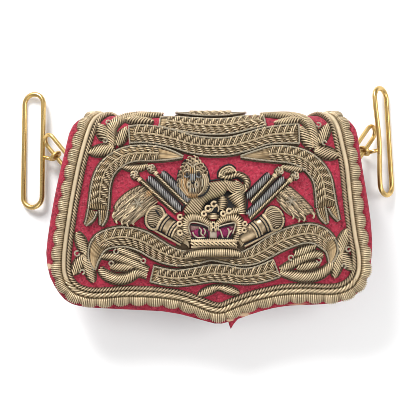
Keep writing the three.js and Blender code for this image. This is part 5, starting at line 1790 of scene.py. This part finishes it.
class POUCH_OT_fittings(bpy.types.Operator):
    """The belt slides, their rings and the staples that hold them, in brass."""

    bl_idname = "pouch.fittings"
    bl_label = "Slides and Rings"

    def execute(self, context):
        for side, facts in SIDES.items():
            self.fit(side, **facts)
        return {"FINISHED"}

    def fit(self, side, sign, bar, tilt, lean, length, bow, out, inside, grip):
        """The slide, ring and staple of one side."""
        slide_wire, ring_wire = sizes().slide_wire, sizes().ring_wire
        eye_radius = ring_wire + EYE_WIRE + EYE_PLAY
        tilt, lean = math.radians(tilt), math.radians(lean)
        along = Vector((-sign * math.sin(lean), math.cos(lean), 0))
        level = Vector((-sign * along.y, sign * along.x, 0))
        inward = level * math.cos(tilt) + Vector((0, 0, math.sin(tilt)))
        outer = Vector((sign * bar[0], bar[1], slide_wire))
        centre = outer + inward * (SLIDE_WIDTH / 2)

        out_end, in_end = (Vector((sign * x, y, z)) for x, y, z in (out, inside))
        run = out_end - in_end
        ahead = run.normalized()
        flat = Vector((ahead.y, -ahead.x, 0)).normalized()
        if flat.x * sign > 0:
            flat.negate()
        across = square_to(flat * 0.62 + Vector((0, 0, 0.78)), ahead)
        middle = in_end + run * 0.5
        ring = Piece(side + "_ring_brass", "brass")
        loop = racetrack(run.length, RING_WIDTH)
        wire(ring, [middle + across * x + ahead * y for x, y in loop], ring_wire)
        ring.done("brass", side + "_ring")

        held = in_end + run * grip - across * (RING_WIDTH / 2)
        foot = outer + inward * (SLIDE_WIDTH + bow) + along * (held - outer).dot(along)
        slide = Piece(side + "_slide_brass", "brass")
        loop = racetrack(length, SLIDE_WIDTH, bow)
        wire(slide, [centre + inward * x + along * y for x, y in loop], slide_wire)
        wire(slide, circle(held, ahead, eye_radius), EYE_WIRE)
        wire(slide, (foot, held - square_to(held - foot, ahead) * eye_radius), EYE_WIRE, closed=False)
        slide.done("brass", side + "_slide")

        wall = Vector((sign * (box_half(inside[1]) - GUSSET_INSET + 1.5 * SEAM), inside[1], inside[2]))
        away = Vector((sign, 0, 0))
        staple = Piece(side + "_staple_brass", "brass")
        wire(staple, circle(in_end, across, eye_radius), EYE_WIRE)
        staple.thread([(wall + away * t) * MM for t in (0, 0.3, 0.9, 1.2)], [3.6, 4, 4, 3.4], sides=20)
        wire(staple, (wall + away * 0.6, in_end - away * eye_radius), EYE_WIRE, closed=False)
        staple.done("brass", side + "_staple")


# -------------------------------------------------------------------------------------------------
# Stage


CAMERA_TILT, CAMERA_DISTANCE, LENS_LENGTH = 6.3, 0.68, 109
AIM = (-1.6, -2.0, 33.0)
AIM_RISE = 6.5
WORLD_LIGHT = 0.37
# Soft boxes: their place in metres, width and power. They point at the origin.
LAMPS = (((-0.4, 0.75, 0.62), 0.4, 12), ((0.7, 0.0, 0.75), 0.6, 4.5), ((0.0, -0.7, 0.8), 0.7, 4.0))


class POUCH_OT_stage(bpy.types.Operator):
    """A pale floor, soft lights and the camera."""

    bl_idname = "pouch.stage"
    bl_label = "Stage"

    def execute(self, context):
        self.floor()
        self.camera()
        self.light()
        scene = bpy.context.scene
        scene.view_settings.view_transform = "Standard"
        scene.cycles.filter_width = 0.8
        return {"FINISHED"}

    def add(self, name, data, place=(0, 0, 0), back=None):
        """An object in the scene. back is the way from what it points at."""
        thing = bpy.data.objects.new(name, data)
        bpy.context.scene.collection.objects.link(thing)
        thing.location = place
        if back is not None:
            thing.rotation_mode = "QUATERNION"
            thing.rotation_quaternion = back.to_track_quat("Z", "Y")
        return thing

    def floor(self):
        ground = bmesh.new()
        bmesh.ops.create_grid(ground, x_segments=1, y_segments=1, size=3)
        mesh = bpy.data.meshes.new("floor")
        ground.to_mesh(mesh)
        ground.free()
        mesh.materials.append(finish("floor"))
        self.add("floor", mesh)

    def camera(self):
        tilt = math.radians(CAMERA_TILT)
        aim = Vector(AIM) + Vector((0, math.cos(tilt), math.sin(tilt))) * AIM_RISE
        back = Vector((0, -math.sin(tilt), math.cos(tilt)))
        lens = bpy.data.cameras.new("camera")
        lens.lens = LENS_LENGTH
        lens.clip_start, lens.clip_end = 0.01, 20
        bpy.context.scene.camera = self.add("camera", lens, aim * MM + back * CAMERA_DISTANCE, back)

    def light(self):
        world = bpy.data.worlds.new("studio")
        world.use_nodes = True
        background = world.node_tree.nodes["Background"]
        background.inputs["Color"].default_value = (1, 1, 1, 1)
        background.inputs["Strength"].default_value = WORLD_LIGHT
        bpy.context.scene.world = world
        for i, (place, width, power) in enumerate(LAMPS):
            light = bpy.data.lights.new(f"softbox_{i}", "AREA")
            light.size = width
            light.energy = power
            self.add(light.name, light, place, Vector(place))


ORDER = ("flap", "box", "border", "scrolls", "sprays", "arms", "crown", "lion", "fittings", "stage")


class POUCH_PT_panel(bpy.types.Panel):
    """Lists the pouch's pieces, sizes and colours."""

    bl_idname = "POUCH_PT_panel"
    bl_label = "Pouch"
    bl_space_type = "VIEW_3D"
    bl_region_type = "UI"
    bl_category = "Pouch"

    def draw(self, context):
        for group in (context.scene.pouch_sizes, context.scene.pouch_colours):
            for key in group.bl_rna.properties.keys():
                if key not in {"rna_type", "name"}:
                    self.layout.prop(group, key)
        for name in ORDER:
            self.layout.operator("pouch." + name)


CLASSES = (
    PouchSizes, PouchColours, POUCH_OT_flap, POUCH_OT_box, POUCH_OT_border, POUCH_OT_scrolls, POUCH_OT_sprays,
    POUCH_OT_arms, POUCH_OT_crown, POUCH_OT_lion, POUCH_OT_fittings, POUCH_OT_stage, POUCH_PT_panel,
)


def register():
    for one in CLASSES:
        bpy.utils.register_class(one)
    bpy.types.Scene.pouch_sizes = bpy.props.PointerProperty(type=PouchSizes)
    bpy.types.Scene.pouch_colours = bpy.props.PointerProperty(type=PouchColours)


def unregister():
    del bpy.types.Scene.pouch_sizes, bpy.types.Scene.pouch_colours
    for one in reversed(CLASSES):
        bpy.utils.unregister_class(one)


def main():
    register()
    for name in ORDER:
        getattr(bpy.ops.pouch, name)()


if __name__ == "__main__":
    main()
